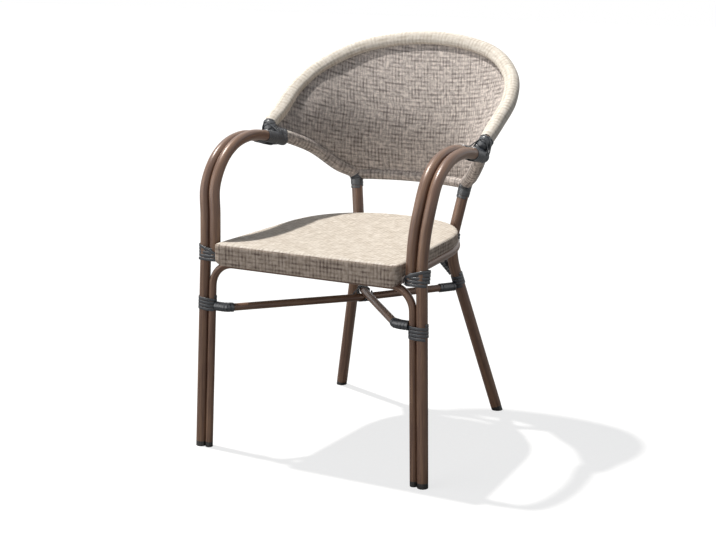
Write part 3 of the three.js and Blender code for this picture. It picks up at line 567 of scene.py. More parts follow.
# %% Routes of the front legs and arms
ARM_STATION_SHARES = [
    (0.977, 0.08, 0.331),
    (1, 0.1205, 0.5945),
    (1, 0.2396, 0.8228),
    (1, 0.42, 0.956),
    (1, 0.6545, 1),
    (0.998, 0.86, 0.968),
    (0.992, 1, 0.925),
]

front_foot = spot(FOOT_SPAN / 2, 0, 0)
leg_at_binding = spot(FOOT_SPAN / 2 - LEAN_IN, LEAN_BACK, BINDING_LEVEL)
front_lean = (leg_at_binding - front_foot).normalized()
ARM_PITCH = 2 * ARM_RADIUS + CLEARANCE


def on_front_leg(height):
    return front_foot.lerp(leg_at_binding, height / BINDING_LEVEL)


def stations(shares, span, front, rear, low, high):
    """Places from shares of a span, and of the way between two setbacks and two heights."""
    return [
        spot(wide * span / 2, front + deep * (rear - front), low + rise * (high - low))
        for wide, deep, rise in shares
    ]


arm_stations = stations(ARM_STATION_SHARES, ARM_SPAN, 0, ARM_LENGTH, BINDING_LEVEL, ARM_TOP)
arm_curve = smooth_route([on_front_leg(BINDING_LEVEL - OVERRUN), leg_at_binding, *arm_stations])
arm_way = (arm_curve[-1] - arm_curve[-2]).normalized()
outer_end = arm_curve[-1] + arm_way * OUTER_ARM_REACH
outer_arm = [front_foot + front_lean * GLIDE_HEIGHT, *arm_curve, outer_end]

beside = Vector((-ARM_PITCH, 0, ARM_STAGGER))
inner_curve = [place + beside for place in arm_curve if place.z > BINDING_LEVEL + INNER_ARM_LAG]
inner_foot = on_front_leg(INNER_ARM_BOTTOM) - Vector((ARM_PITCH, 0, 0))
inner_arm = [inner_foot, *inner_curve, inner_curve[-1] + arm_way * INNER_ARM_REACH]

HANDS = {"left": -1, "right": 1}
for side, hand in HANDS.items():
    for name, route in (("front_leg_arm", outer_arm), ("inner_arm", inner_arm)):
        finish_tube(handed(route, hand), ARM_RADIUS, f"{name}_{side}")
print("An outer arm tube is", round(distances_along(outer_arm)[-1], 3), "m long")

# %% [markdown]
# ## The back frame
# The back legs, the sides and the hoop over the top are one bent tube. From the foot it runs up
# to a wide bend at the knee, up to the back corner, then sweeps forwards to the arm's end and
# back round the hoop. The frame's corners and stations are used again.

# %% Route of the back frame
BACK_FOOT_SPAN = 0.4104
BACK_FOOT_SETBACK = 0.520
KNEE_SPAN = 0.2274
KNEE_SETBACK = 0.442
KNEE_HEIGHT = 0.383
KNEE_RADIUS = 0.170
CORNER_SPAN = 0.2766
CORNER_SETBACK = 0.473
CORNER_HEIGHT = 0.534
CORNER_RADIUS = 0.024
HOOP_SPAN = 0.532
HOOP_TOP_SETBACK = 0.580
HOOP_TOP = 0.841
HOOP_STATION_SHARES = [
    (0.627, 0.544, 0.069),
    (0.772, 0.385, 0.215),
    (0.876, 0.18, 0.312),
    (0.944, 0.077, 0.358),
    (0.98, 0.081, 0.403),
    (0.993, 0.256, 0.508),
    (0.993, 0.4625, 0.6365),
    (0.889, 0.6935, 0.7835),
    (0.589, 0.911, 0.9285),
]

back_foot = spot(BACK_FOOT_SPAN / 2, BACK_FOOT_SETBACK, 0)
back_knee = spot(KNEE_SPAN / 2, KNEE_SETBACK, KNEE_HEIGHT)
back_corner = spot(CORNER_SPAN / 2, CORNER_SETBACK, CORNER_HEIGHT)
hoop_reach = (ARM_LENGTH, HOOP_TOP_SETBACK, CORNER_HEIGHT, HOOP_TOP)
hoop_stations = stations(HOOP_STATION_SHARES, HOOP_SPAN, *hoop_reach)
leg_corners = [back_foot, back_knee, back_corner, hoop_stations[0]]
leg_bends = bent_route(leg_corners, [KNEE_RADIUS, CORNER_RADIUS])
back_lean = (back_knee - back_foot).normalized()
leg_run = [back_foot + back_lean * GLIDE_HEIGHT, *leg_bends[1:-1]]

HOOP_STEPS = 16
hoop_knots = there_and_back([leg_run[-1], *hoop_stations, spot(0, HOOP_TOP_SETBACK, HOOP_TOP)])
hoop_half = smooth_route(hoop_knots, HOOP_STEPS)[: len(hoop_knots) // 2 * HOOP_STEPS + 1]
back_route = there_and_back(leg_run + hoop_half[1:])
finish_tube(back_route, BACK_RADIUS, "back_frame")
print("The back frame's tube is", round(distances_along(back_route)[-1], 3), "m long")


def on_back_leg(height):
    return crossing(leg_run, 2, height)


# %% [markdown]
# ## Arch, stretchers, brace and seat rail
# A thinner arch stands inside the front legs and carries the seat's front. Two stretchers cross
# under the seat, one lying on the other, and a low brace joins the back legs. The seat rail is
# a bent tube under the seat's edge, whose rear lies against the back legs.

# %% Routes of the arch, stretchers and brace
ARCH_HEIGHT = 0.405
ARCH_RADIUS = 0.050
STRETCHER_RUN = 0.038
STRETCHER_FRONT = 0.312
STRETCHER_CROSS = 0.306
STRETCHER_REAR = 0.300
STRETCHER_CROSS_SETBACK = 0.245
STRETCHER_RADIUS = 0.028
BRACE_HEIGHT = 0.318
BRACE_TOP_SPAN = 0.092
BRACE_RADIUS = 0.040
BOUND_BACK_LEG = 0.0165

arch_pitch = Vector((ARM_RADIUS + THIN_RADIUS + CLEARANCE, 0, 0))
arch_foot = front_foot - arch_pitch + front_lean * GLIDE_HEIGHT
arch_shoulder = on_front_leg(ARCH_HEIGHT) - arch_pitch
arch_corners = [arch_foot, arch_shoulder, *mirrored([arch_shoulder, arch_foot])]
arch_route = bent_route(arch_corners, [ARCH_RADIUS, ARCH_RADIUS])
finish_tube(arch_route, THIN_RADIUS, "front_arch")

stretcher_lifts = {"left": 0, "right": 2 * THIN_RADIUS + CLEARANCE}
stretcher_routes = {}
for side, hand in HANDS.items():
    lift = stretcher_lifts[side]
    start = on_front_leg(STRETCHER_FRONT + lift) - arch_pitch
    corner = start - Vector((STRETCHER_RUN, 0, 0))
    cross = spot(0, STRETCHER_CROSS_SETBACK, STRETCHER_CROSS + lift)
    end = mirrored([on_back_leg(STRETCHER_REAR + lift)])[0]
    route = bent_route([start, corner, cross, end], [STRETCHER_RADIUS, STRETCHER_RADIUS])
    route = trimmed(handed(route, hand), THIN_RADIUS + CLEARANCE, BOUND_BACK_LEG)
    stretcher_routes[side] = route
    finish_tube(route, THIN_RADIUS, f"stretcher_{side}")

rail_low, rail_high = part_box("seat_rail")
rail_height = (rail_low.z + rail_high.z) / 2
rail_rear = rail_high.y - RAIL_RADIUS
brace_level = rail_height - RAIL_RADIUS - THIN_RADIUS - CLEARANCE
brace_top = Vector((BRACE_TOP_SPAN / 2, rail_rear, brace_level))
brace_corners = [on_back_leg(BRACE_HEIGHT), brace_top]
brace_route = bent_route(brace_corners + mirrored(brace_corners)[::-1], [BRACE_RADIUS, BRACE_RADIUS])
brace_route = trimmed(brace_route, BOUND_BACK_LEG, BOUND_BACK_LEG)
finish_tube(brace_route, THIN_RADIUS, "rear_brace")

# %% [markdown]
# ## The seat's outline
# The seat tapers a little from the front to its waist, then is drawn round into the back. Its
# outline is a straight line and a bend. The frame tube, the rail and the cloth follow it.

# %% The seat's outline and its offsets
SEAT_HEIGHT = 0.453
SEAT_FRONT_SPAN = 0.427
SEAT_WAIST_SPAN = 0.396
SEAT_WAIST_SETBACK = 0.262
SEAT_REAR_SETBACK = 0.446
SEAT_BEND_REACH_SHARE = 0.52
SEAT_BEND_WIDTH_SHARE = 0.7
SLING = 0.0012
SEAT_TUBE_RADIUS = 0.0115
SEAT_SIDE_STEPS = 20
SEAT_BEND_STEPS = 28
RAIL_INSET = 0.002


def inset_side(side, inset):
    """The half outline drawn in along its own normals."""
    drawn = []
    for index, place in enumerate(side):
        along = (side[min(index + 1, len(side) - 1)] - side[max(index - 1, 0)]).normalized()
        if index == len(side) - 1:
            along = Vector((-1, 0, 0))
        front = inset if index == 0 else 0
        drawn.append(place + Vector((-along.y * inset, along.x * inset + front, 0)))
    return drawn


front_corner = spot(SEAT_FRONT_SPAN / 2, -SEAT_OVERHANG, 0)
waist = spot(SEAT_WAIST_SPAN / 2, SEAT_WAIST_SETBACK, 0)
rear_middle = spot(0, SEAT_REAR_SETBACK, 0)
reach = (SEAT_REAR_SETBACK - SEAT_WAIST_SETBACK) * SEAT_BEND_REACH_SHARE
waist_pull = waist + (waist - front_corner).normalized() * reach
rear_pull = spot(SEAT_WAIST_SPAN / 2 * SEAT_BEND_WIDTH_SHARE, SEAT_REAR_SETBACK, 0)
bend = (waist, waist_pull, rear_pull, rear_middle)
outline = [front_corner.lerp(waist, step / SEAT_SIDE_STEPS) for step in range(SEAT_SIDE_STEPS)]
outline += [drawn_curve(bend, step / SEAT_BEND_STEPS) for step in range(SEAT_BEND_STEPS + 1)]
frame_side = inset_side(outline, SLING + CLEARANCE + SEAT_TUBE_RADIUS)
rail_setback = rail_rear - frame_side[-1].y
front_place = crossing(frame_side, 1, rail_low.y + RAIL_INSET)
rail_half = [Vector((front_place.x, front_place.y, rail_height))]
for place in frame_side:
    share = (place.y - frame_side[0].y) / (frame_side[-1].y - frame_side[0].y)
    if place.y > rail_low.y + 2 * RAIL_INSET:
        rail_half.append(Vector((place.x, place.y + rail_setback * share**2, rail_height)))
finish_tube(there_and_back(rail_half), RAIL_RADIUS, "seat_rail")

# %% [markdown]
# ## Cloth over four edges
# Both slings are cloth stretched between curved tubes. A grid takes its edges from four
# boundary routes, and its middle is smoothed for many rounds, which brings it near the shape
# that a taut cloth finds. The same function makes the seat and the back.


# %% A taut patch
SMOOTHING = 0.9


def even_places(route, count):
    """Places at equal distances along a route, both ends included."""
    run = distances_along(route)
    return [place_at(route, run, run[-1] * k / (count - 1)) for k in range(count)]


def taut_patch(left, right, lower, upper, rounds):
    """A grid whose edge follows four routes and whose middle is smoothed round by round."""
    edit = bmesh.new()
    rows, columns = len(left), len(lower)
    grid = bmesh.ops.create_grid(edit, x_segments=columns - 1, y_segments=rows - 1, size=1)["verts"]
    order = sorted(grid, key=lambda vert: (round(vert.co.y, 4), round(vert.co.x, 4)))
    inner = []
    for index, vert in enumerate(order):
        row, column = divmod(index, columns)
        up, over = row / (rows - 1), column / (columns - 1)
        if row in (0, rows - 1):
            vert.co = (upper if row else lower)[column]
        elif column in (0, columns - 1):
            vert.co = (right if column else left)[row]
        else:
            vert.co = (lower[column].lerp(upper[column], up) + left[row].lerp(right[row], over)) / 2
            inner.append(vert)
    every_way = {"use_axis_x": True, "use_axis_y": True, "use_axis_z": True}
    for _ in range(rounds):
        bmesh.ops.smooth_vert(edit, verts=inner, factor=SMOOTHING, **every_way)
    return edit, order


def cloth_area(edit):
    return sum(face.calc_area() for face in edit.faces)


def thicken(piece, offset):
    thick = piece.modifiers.new("cloth thickness", "SOLIDIFY")
    thick.thickness = SLING
    thick.offset = offset


# %% [markdown]
# ## The back sling
# The back's cloth is sewn into sleeves that slip over the hoop and over a rail between the back
# corners, and the panel is stretched between them. The panel meets each sleeve behind its front
# face, so the padded-looking rim stands proud with a crease beside it. Smoothing counts
# neighbours and not distances, and the grid's columns lie closer than its rows, so the uprights
# come out straighter than in the frame's own cloth, as in the photograph.

# %% The back panel
PANEL_ROW_STATIONS = [0.8, 1.2, 1.6, 2, 2.5, 4.5, 6, 6.5, 7, 7.5, 8]
PANEL_COLUMN_STATIONS = [8.35, 8.7, 9, 9.35, 9.7, 10]
PANEL_FINENESS = 4
COLUMN_FINENESS = 14
PANEL_ROUNDS = 900
CORNER_BEND_REACH = 0.03
BACK_RAIL_BOW = 0.033
BACK_RAIL_RADIUS = 0.010
SLEEVE_RADIUS = BACK_RADIUS + CLEARANCE + SLING

bend_bottom = CORNER_HEIGHT - CORNER_BEND_REACH
bend_start = next(k for k, place in enumerate(leg_run) if place.z > bend_bottom)
corner_bend = leg_run[bend_start:]
bend_run = distances_along(corner_bend)
corner_middle = place_at(corner_bend, bend_run, bend_run[-1] / 2)
corner_index = next(k for k, place in enumerate(leg_run) if place.z >= corner_middle.z)
edge_route = leg_run[corner_index:] + hoop_half[1:]


def hoop_place(station):
    exact = station * HOOP_STEPS
    index = min(int(exact), len(hoop_half) - 2)
    return hoop_half[index].lerp(hoop_half[index + 1], exact - index)


def refined_stations(marks, fineness):
    """The stations with each stretch between two of them cut into equal parts."""
    finer = []
    for here, onward in zip(marks, marks[1:]):
        finer += [here + (onward - here) * k / fineness for k in range(fineness)]
    return finer + [marks[-1]]


side_stations = refined_stations(PANEL_ROW_STATIONS, PANEL_FINENESS)
first_place = hoop_place(PANEL_ROW_STATIONS[0])
first_rows = [corner_middle.lerp(first_place, k / PANEL_FINENESS) for k in range(PANEL_FINENESS)]
panel_right = first_rows + [hoop_place(station) for station in side_stations]
top_stations = refined_stations([PANEL_ROW_STATIONS[-1], *PANEL_COLUMN_STATIONS], COLUMN_FINENESS)
top_half = [hoop_place(station) for station in top_stations]
panel_top = there_and_back(top_half)[::-1]
columns = len(panel_top)
rail_pull = Vector((0, corner_middle.y + 2 * BACK_RAIL_BOW, corner_middle.z))
rail_bend = (*mirrored([corner_middle]), rail_pull, corner_middle)
back_rail = [drawn_curve(rail_bend, k / (columns - 1)) for k in range(columns)]
panel_edges = (mirrored(panel_right), panel_right, back_rail, panel_top)
panel, panel_order = taut_patch(*panel_edges, PANEL_ROUNDS)
print("The back panel has an area of", round(cloth_area(panel), 3), "square metres")


# %% [markdown]
# The panel's flat map is made from the cloth itself: each vertex is as far from the middle, and
# as far up, as the threads between them are long. In the photograph the rows rise a little
# towards both sides, and the uprights lean in the upper half.


# %% The panel's flat map and its sleeves
ROW_RISE = 0.5
UPRIGHT_LEAN = 0.25
LEAN_LEVEL = 0.15
SEAM_REACH = 0.0175
SEAM_FADE = 0.04
SEAM_STEP = 0.004
SEAM_FACING = 0.01
SEAM_BULGE_POWER = 0.85
SEAM_WIDTH_POWER = -0.3
SEAM_WIDEST = 8
LEAST_SQUARE = 1e-4
LOWER_RUN_TOP = 0.640
PANEL_HEART = spot(0, 0.50, 0.68)
ARM_BINDING_REAR = 0.2905
SLEEVE_MAP_START = 0.4
HEM_MAP_START = 0.8


def thread_level(levels, height):
    """The row of thread at a height, read off the panel's middle."""
    for (low, below), (high, above) in zip(levels, levels[1:]):
        if height <= high or (high, above) == levels[-1]:
            return below + (above - below) * (height - low) / (high - low)


def map_from_grid(edit, order, columns):
    """Writes the flat map of a grid, measured along its own threads."""
    flat = edit.loops.layers.uv.new("flat")
    rows = len(order) // columns
    middle = columns // 2
    place_of = {}
    levels = []
    height = 0
    for row in range(rows):
        line = order[row * columns : (row + 1) * columns]
        if row:
            height += (line[middle].co - order[(row - 1) * columns + middle].co).length
        levels.append((line[middle].co.z, (line[middle].co.z - order[middle].co.z + height) / 2))
        for way, stop in ((1, columns), (-1, -1)):
            across = 0
            place_of[line[middle]] = 0
            for k in range(middle + way, stop, way):
                across += way * (line[k].co - line[k - way].co).length
                place_of[line[k]] = across
    for face in edit.faces:
        for loop in face.loops:
            across = place_of[loop.vert]
            level = thread_level(levels, loop.vert.co.z)
            lean = UPRIGHT_LEAN * max(0, level - LEAN_LEVEL)
            loop[flat].uv = (across + lean, level - ROW_RISE * across**2)
    reach = max(place_of.values())
    print("The flat cut is", round(2 * reach, 3), "m wide and", round(height, 3), "m high")


def map_round_tube(edit, radius, start):
    """Writes the flat map of a swept tube: once round it across, and along it upwards."""
    cane = edit.verts.layers.float_vector["cane"]
    flat = edit.loops.layers.uv.new("flat")
    for face in edit.faces:
        angles = [math.atan2(loop.vert[cane].y, loop.vert[cane].x) for loop in face.loops]
        if max(angles) - min(angles) > math.pi:
            angles = [angle + 2 * math.pi if angle < 0 else angle for angle in angles]
        for loop, angle in zip(face.loops, angles):
            loop[flat].uv = (start + radius * angle, loop.vert[cane].z)


def draw_to_seam(edit, route):
    """Draws the side of a sleeve that faces the panel in to its seam, flat and then folded."""
    run = distances_along(route)
    cane = edit.verts.layers.float_vector["cane"]
    for vert in edit.verts:
        distance = min(max(vert[cane].z, SEAM_STEP), run[-1] - SEAM_STEP)
        onward = place_at(route, run, distance + SEAM_STEP)
        way = (onward - place_at(route, run, distance - SEAM_STEP)).normalized()
        centre = place_at(route, run, vert[cane].z)
        inward = PANEL_HEART - centre
        inward = (inward - way * inward.dot(way)).normalized()
        spoke = vert.co - centre
        facing = spoke.dot(inward) / SLEEVE_RADIUS
        if facing > SEAM_FACING:
            rest = spoke - inward * spoke.dot(inward)
            widened = min(max(LEAST_SQUARE, 1 - facing**2) ** SEAM_WIDTH_POWER, SEAM_WIDEST)
            drawn = centre + inward * SEAM_REACH * facing**SEAM_BULGE_POWER + rest * widened
            share = min(1, max(0, (centre.z - LOWER_RUN_TOP) / SEAM_FADE))
            vert.co = vert.co.lerp(drawn, share)


map_from_grid(panel, panel_order, columns)
panel_piece = finish_piece(panel, "back_panel_cloth", shaded_back_cloth, "back_sling")
thicken(panel_piece, 0)

sleeve_route = there_and_back(edge_route)
sleeve = swept_tube(sleeve_route, SLEEVE_RADIUS, sides=32)
map_round_tube(sleeve, SLEEVE_RADIUS, SLEEVE_MAP_START)
draw_to_seam(sleeve, sleeve_route)
bmesh.ops.bisect_plane(
    sleeve,
    geom=[*sleeve.verts, *sleeve.edges, *sleeve.faces],
    plane_co=spot(0, ARM_BINDING_REAR, 0),
    plane_no=(0, 1, 0),
    clear_inner=True,
)
# Painted light and shade: the sleeve's run below the arms takes the back's darker copy, and the rest
# takes the lighter sleeve copy.
for face in sleeve.faces:
    face.material_index = int(face.calc_center_median().z < LOWER_RUN_TOP)
sleeve_piece = finish_piece(sleeve, "back_sleeve_cloth", lit_sleeve_cloth, "back_sling")
sleeve_piece.data.materials.append(shaded_back_cloth)
hem = swept_tube(back_rail, BACK_RAIL_RADIUS + CLEARANCE + SLING)
map_round_tube(hem, BACK_RAIL_RADIUS, HEM_MAP_START)
hem_piece = finish_piece(hem, "back_hem_cloth", shaded_back_cloth, "back_sling")

# %% [markdown]
# ## The seat sling
# The seat's cloth is stretched over a tube frame, wrapped round its edge and drawn in below. At
# the front it hangs further, round a second bar, as a deep skirt. The top is a taut patch, and
# its edge is extruded ring by ring: first round the edge, then down, then in.

# %% The seat's top
SEAT_EDGE = 0.007
SKIRT_DROP = 0.0462
SKIRT_DEPTH = 0.017
SKIRT_CORNER = 0.014
SEAT_SIDE_DROP = 2 * (SEAT_TUBE_RADIUS + CLEARANCE + SLING)
SEAT_SAG = 0.004
SKIRT_CREASE = 0.003
REAR_CORNER_DEPTH = 0.055
SEAT_ROUNDS = 300
ROWS = 61
COLUMNS = 57

top_side = inset_side(outline, SEAT_EDGE)
rear_start = top_side[-1].y - REAR_CORNER_DEPTH
turning = next(k for k, place in enumerate(top_side) if place.y > rear_start)
side_part, rear_part = top_side[: turning + 1], top_side[turning:]
right_edge = even_places(side_part, ROWS)
rear_edge = even_places(mirrored(rear_part)[:-1] + rear_part[::-1], COLUMNS)
front_edge = even_places(mirrored(top_side[:1]) + top_side[:1], COLUMNS)
lift = Vector((0, 0, SEAT_HEIGHT))
flat_edges = (mirrored(right_edge), right_edge, front_edge, rear_edge)
seat_edges = [[place + lift for place in edge] for edge in flat_edges]
seat, seat_order = taut_patch(*seat_edges, SEAT_ROUNDS)
for index, vert in enumerate(seat_order):
    row, column = divmod(index, COLUMNS)
    over = math.sin(math.pi * column / (COLUMNS - 1))
    along = math.sin(math.pi * row / (ROWS - 1))
    vert.co.z -= SEAT_SAG * over * along

# %% The seat's sides and skirt
flat = seat.loops.layers.uv.new("flat")
for face in seat.faces:
    for loop in face.loops:
        loop[flat].uv = (loop.vert.co.x, loop.vert.co.y)


def skirt_drop(place):
    """How far the cloth hangs at a place on the seat's edge."""
    if place.y > cad_low.y + SKIRT_DEPTH:
        return SEAT_SIDE_DROP
    past = max(0, abs(place.x) - SEAT_FRONT_SPAN / 2 + SKIRT_CORNER)
    past = min(past, SKIRT_CORNER)
    return SKIRT_DROP - SKIRT_CORNER + math.sqrt(SKIRT_CORNER**2 - past**2)


EDGE_STEPS = 5
SIDE_STEPS = 4
LOWER_BEND = 0.002
LOWER_CORNER = 0.0006
TURNED_EDGE = 0.9 * SKIRT_DEPTH
WALL_SLOPE = 0.7

border = [edge for edge in seat.edges if edge.is_boundary]
seat_heart = (cad_low.y + rear_middle.y) / 2
rim_home = {}
for vert in {vert for edge in border for vert in edge.verts}:
    neighbours = [edge.other_vert(vert).co for edge in vert.link_edges if edge.is_boundary]
    along = (neighbours[1] - neighbours[0]).normalized()
    away = Vector((along.y, -along.x, 0)).normalized()
    if away.dot(vert.co - Vector((0, seat_heart, vert.co.z))) < 0:
        away.negate()
    rim_home[vert] = (vert.co.copy(), away)

# Each ring's reach outwards, its own drop, and its share of the cloth's drop at that place
profile = []
for step in range(1, EDGE_STEPS + 1):
    angle = math.pi / 2 * step / EDGE_STEPS
    profile.append((SEAT_EDGE * math.sin(angle), SEAT_EDGE * (1 - math.cos(angle)), 0))
for step in range(1, SIDE_STEPS + 1):
    share = step / SIDE_STEPS
    profile.append((SEAT_EDGE, SEAT_EDGE * (1 - share) - LOWER_BEND * share, share))
profile.append((SEAT_EDGE - LOWER_CORNER, -LOWER_CORNER, 1))
profile.append((SEAT_EDGE - LOWER_BEND, 0, 1))
profile.append((SEAT_EDGE - TURNED_EDGE, 0, 1))

origin_of = {vert: vert for vert in rim_home}
edges = border
for out, own_drop, share in profile:
    new_verts, edges = extruded(seat, edges)
    parents = {}
    for vert in new_verts:
        for edge in vert.link_edges:
            other = edge.other_vert(vert)
            if other in origin_of:
                parents[vert] = origin_of[other]
    for vert, home in parents.items():
        place, away = rim_home[home]
        down = own_drop + share * skirt_drop(place + away * SEAT_EDGE)
        vert.co = place + away * out - Vector((0, 0, down))
    origin_of = parents
bmesh.ops.recalc_face_normals(seat, faces=seat.faces)
# Painted shade: the seat's walls, its sides and skirt, take the darker copy of the cloth.
for face in seat.faces:
    if abs(face.normal.z) < WALL_SLOPE:
        face.material_index = 1
        for loop in face.loops:
            here = loop.vert.co
            # The map is shifted so that a row of the weave's dark gaps runs just under the seat's top
            # edge.
            hang = here.z - SEAT_HEIGHT + SKIRT_CREASE
            if abs(face.normal.y) > abs(face.normal.x):
                loop[flat].uv = (here.x, hang)
            else:
                loop[flat].uv = (hang, here.y)
print("The seat's cloth has an area of", round(cloth_area(seat), 3), "square metres")
side_girth = SEAT_EDGE * math.pi / 2 + SEAT_SIDE_DROP - SEAT_EDGE + TURNED_EDGE
front_girth = side_girth + SKIRT_DROP - SEAT_SIDE_DROP
cut_width = SEAT_FRONT_SPAN - 2 * SEAT_EDGE + 2 * side_girth
cut_length = SEAT_REAR_SETBACK + SEAT_OVERHANG - 2 * SEAT_EDGE + side_girth + front_girth
print("The seat's flat cut is", round(cut_width, 3), "m wide and", round(cut_length, 3), "m long")
seat_piece = finish_piece(seat, "seat_sling_cloth", sunlit_seat_cloth, "seat_sling")
seat_piece.data.materials.append(shaded_skirt_cloth)
thicken(seat_piece, -1)

# %% [markdown]
# ## Bound strands
# Each binding is one flat strand, wound round the tubes that it holds. A copy of each of the
# frame's strands is rounded: its triangles are merged into strips, its long edges are bevelled,
# and a subdivision makes the turns flow. One edge of a triangle is sharp, along the strand, and
# of the other two the diagonal is the one that runs more lengthwise.

# %% Rounded strands from the frame's own
SHARP = math.radians(60)
MERGE_DISTANCE = 1e-5
STRAND_EDGE = 0.0006


def edge_way(edge):
    return (edge.verts[1].co - edge.verts[0].co).normalized()


def strip_diagonals(edit):
    diagonals = set()
    for face in edit.faces:
        level = [edge for edge in face.edges if edge.calc_face_angle() < SHARP]
        corner = [edge for edge in face.edges if edge not in level]
        if corner and len(level) == 2:
            level.sort(key=lambda edge: abs(edge_way(edge).dot(edge_way(corner[0]))))
        diagonals.add(level[-1])
    return list(diagonals)


def rounded_strand(name):
    edit = bmesh.new()
    edit.from_mesh(frame["nodes"][name].data)
    bmesh.ops.remove_doubles(edit, verts=edit.verts, dist=MERGE_DISTANCE)
    bmesh.ops.dissolve_edges(edit, edges=strip_diagonals(edit), use_verts=False)
    sharp = [edge for edge in edit.edges if edge.calc_face_angle() > SHARP]
    bmesh.ops.bevel(
        edit, geom=sharp, offset=STRAND_EDGE, affect="EDGES", segments=2, profile=0.5, material=-1
    )
    bmesh.ops.recalc_face_normals(edit, faces=edit.faces)
    piece = finish_piece(edit, f"{name}_strand", strand_material, name)
    rounding = piece.modifiers.new("rounding", "SUBSURF")
    rounding.levels = 1
    rounding.render_levels = 1


for name in sorted(frame["nodes"]):
    if "binding" in name:
        rounded_strand(name)

# %% [markdown]
# At the arm joints the strand also covers the hoop's tight bend and the ends of both arms, and
# under the seat it runs some way along the stretchers and the brace. There it is laid turn by
# turn along the tube: a swept tube whose rings rise where a strand lies and dip in the gap
# between two turns.

# %% Wound strands along the tubes
STRAND_PITCH = 0.007
STRAND_RISE = 0.0013
GAP_STEEPNESS = 5
RINGS_A_TURN = 10
ARM_WRAP_PAST = 0.002
WRAP_STATIONS = (3.3, 5.15)
WRAP_RADIUS = 0.0146
ARM_WRAP_RADIUS = 0.0122
ARM_WRAP_START = 0.231
THIN_WRAP_RADIUS = 0.0087
STRETCHER_WRAP = 0.040
BRACE_WRAP = 0.075
CORNER_WRAP = 0.024
CORNER_WRAP_RADIUS = 0.0132


def wound_strand(name, route, radius, replaced):
    run = distances_along(route)
    step = STRAND_PITCH / RINGS_A_TURN
    rings = [place_at(route, run, k * step) for k in range(int(run[-1] / step) + 1)]
    edit = swept_tube(rings, radius)
    cane = edit.verts.layers.float_vector["cane"]
    edit.normal_update()
    risen = {}
    for vert in edit.verts:
        turn = vert[cane].z / STRAND_PITCH % 1
        rise = min(1.0, GAP_STEEPNESS * min(turn, 1 - turn))
        risen[vert] = vert.co + vert.normal * STRAND_RISE * rise * (2 - rise)
    for vert, place in risen.items():
        vert.co = place
    finish_piece(edit, name, strand_material, replaced)


wrap_start, wrap_end = [int(station * HOOP_STEPS) for station in WRAP_STATIONS]
hoop_bend = hoop_half[wrap_start : wrap_end + 1]
arm_ends = []
for route in (outer_arm, inner_arm):
    wrapped = [place for place in route if place.y > FOOT_LINE + ARM_WRAP_START]
    arm_ends.append([*wrapped, wrapped[-1] + arm_way * ARM_WRAP_PAST])
below_sleeve = leg_run[: corner_index + 1]
corner_end = trimmed(below_sleeve, distances_along(below_sleeve)[-1] - CORNER_WRAP, 0)
brace_end = trimmed(brace_route, 0, distances_along(brace_route)[-1] - BRACE_WRAP)
for side, hand in HANDS.items():
    route = stretcher_routes[side]
    rest = distances_along(route)[-1] - STRETCHER_WRAP
    front_end, rear_end = trimmed(route, 0, rest), trimmed(route, rest, 0)
    wraps = (
        ("corner", handed(corner_end, hand), CORNER_WRAP_RADIUS, "back_corner"),
        ("hoop", handed(hoop_bend, hand), WRAP_RADIUS, "arm"),
        ("outer_arm", handed(arm_ends[0], hand), ARM_WRAP_RADIUS, "arm"),
        ("inner_arm", handed(arm_ends[1], hand), ARM_WRAP_RADIUS, "arm"),
        ("stretcher_front", front_end, THIN_WRAP_RADIUS, "stretcher_front"),
        ("stretcher_rear", rear_end, THIN_WRAP_RADIUS, "stretcher_back"),
        ("brace", handed(brace_end, hand), THIN_WRAP_RADIUS, "brace"),
    )
    for name, wrapped, radius, node in wraps:
        wound_strand(f"{name}_wrap_{side}", wrapped, radius, f"{node}_binding_{side}")

# %% [markdown]
# ## The pieces that keep the frame's own shape
# The glides, the screws and the tubes hidden in the slings only take their finish.

# %% Finishes for the frame's own nodes
for name, piece in frame["nodes"].items():
    finish = hidden_tube_material
    if "glide" in name:
        finish = glide_material
    elif "screw" in name:
        finish = screw_material
    piece.data.materials.clear()
    piece.data.materials.append(finish)

# %% [markdown]
# ## Floor and light
# The photograph has a white ground and the sun high on the chair's own right, which throws one
# shadow across the floor. A sun lamp, a soft fill light and a pale sky do nearly the same. The
# camera and reflections see the sky as white, and the floor adds enough glow to be white outside
# the shadow, without lighting the chair any more.


# %% The floor
FLOOR_REACH = 12
FLOOR_GREYS = (0.24, 0.3)
FLOOR_GLOW = 0.745


def grey(level):
    return (level, level, level, 1)


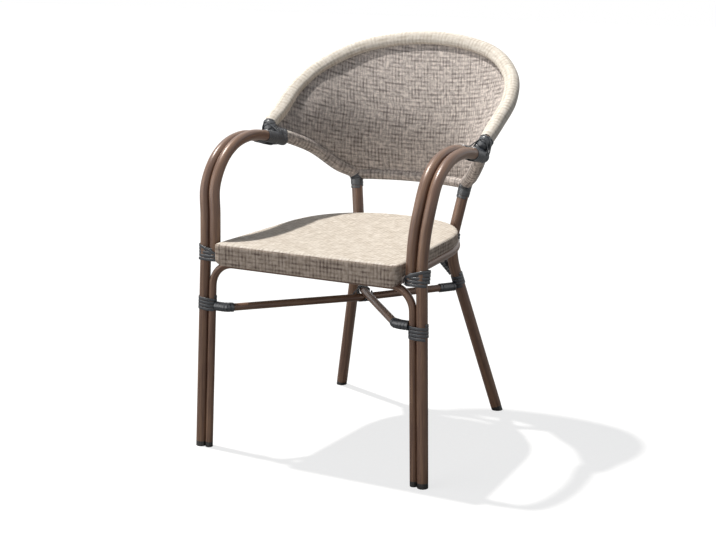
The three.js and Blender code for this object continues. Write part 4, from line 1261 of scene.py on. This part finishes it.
material, tree, shader = new_material("pale floor")
tree.nodes.remove(shader)
seen = put(tree, "ShaderNodeLightPath").outputs["Is Camera Ray"]
pale, thin = [put(tree, "ShaderNodeBsdfDiffuse", {"Color": grey(level)}) for level in FLOOR_GREYS]
glow = put(tree, "ShaderNodeEmission", {"Color": grey(1), "Strength": FLOOR_GLOW})
white = put(tree, "ShaderNodeAddShader", {0: thin.outputs[0], 1: glow.outputs[0]})
both = put(tree, "ShaderNodeMixShader", {0: seen, 1: pale.outputs[0], 2: white.outputs[0]})
fill(tree, tree.nodes["Material Output"], {"Surface": both.outputs[0]})

edit = bmesh.new()
bmesh.ops.create_grid(edit, x_segments=1, y_segments=1, size=FLOOR_REACH)
floor = shown(edit, "floor", material)

# %% Sun, fill and sky
SKY_STRENGTH = 0.2
SKY_COLOUR = (0.84, 0.91, 1, 1)
# Each light's azimuth, elevation and spread in degrees, its strength and its tint
FAR_LIGHTS = {
    "sun": (-7, 66.5, 2.5, 3.9, (1, 0.975, 0.93)),
    "fill": (48, 6, 70, 1.8, (1, 0.98, 0.96)),
}

for name, (azimuth, elevation, spread, strength, tint) in FAR_LIGHTS.items():
    light_data = bpy.data.lights.new(name, "SUN")
    light_data.energy = strength
    light_data.color = tint
    light_data.angle = math.radians(spread)
    turned, raised = math.radians(azimuth), math.radians(elevation)
    level = math.cos(raised)
    travel = Vector((math.cos(turned) * level, math.sin(turned) * level, -math.sin(raised)))
    added(name, light_data).rotation_euler = travel.to_track_quat("-Z", "Y").to_euler()

world = bpy.data.worlds.new("pale sky")
bpy.context.scene.world = world
world.use_nodes = True
sky_tree = world.node_tree
path = put(sky_tree, "ShaderNodeLightPath")
seen = sums(sky_tree, "MAXIMUM", path.outputs["Is Camera Ray"], path.outputs["Is Glossy Ray"])
limits = {"Value": seen, "To Min": SKY_STRENGTH, "To Max": 1.0}
strength = put(sky_tree, "ShaderNodeMapRange", limits).outputs[0]
tint = blend_colours(sky_tree, seen, SKY_COLOUR, grey(1))
fill(sky_tree, sky_tree.nodes["Background"], {"Color": tint, "Strength": strength})
bpy.context.scene.view_settings.view_transform = "Standard"
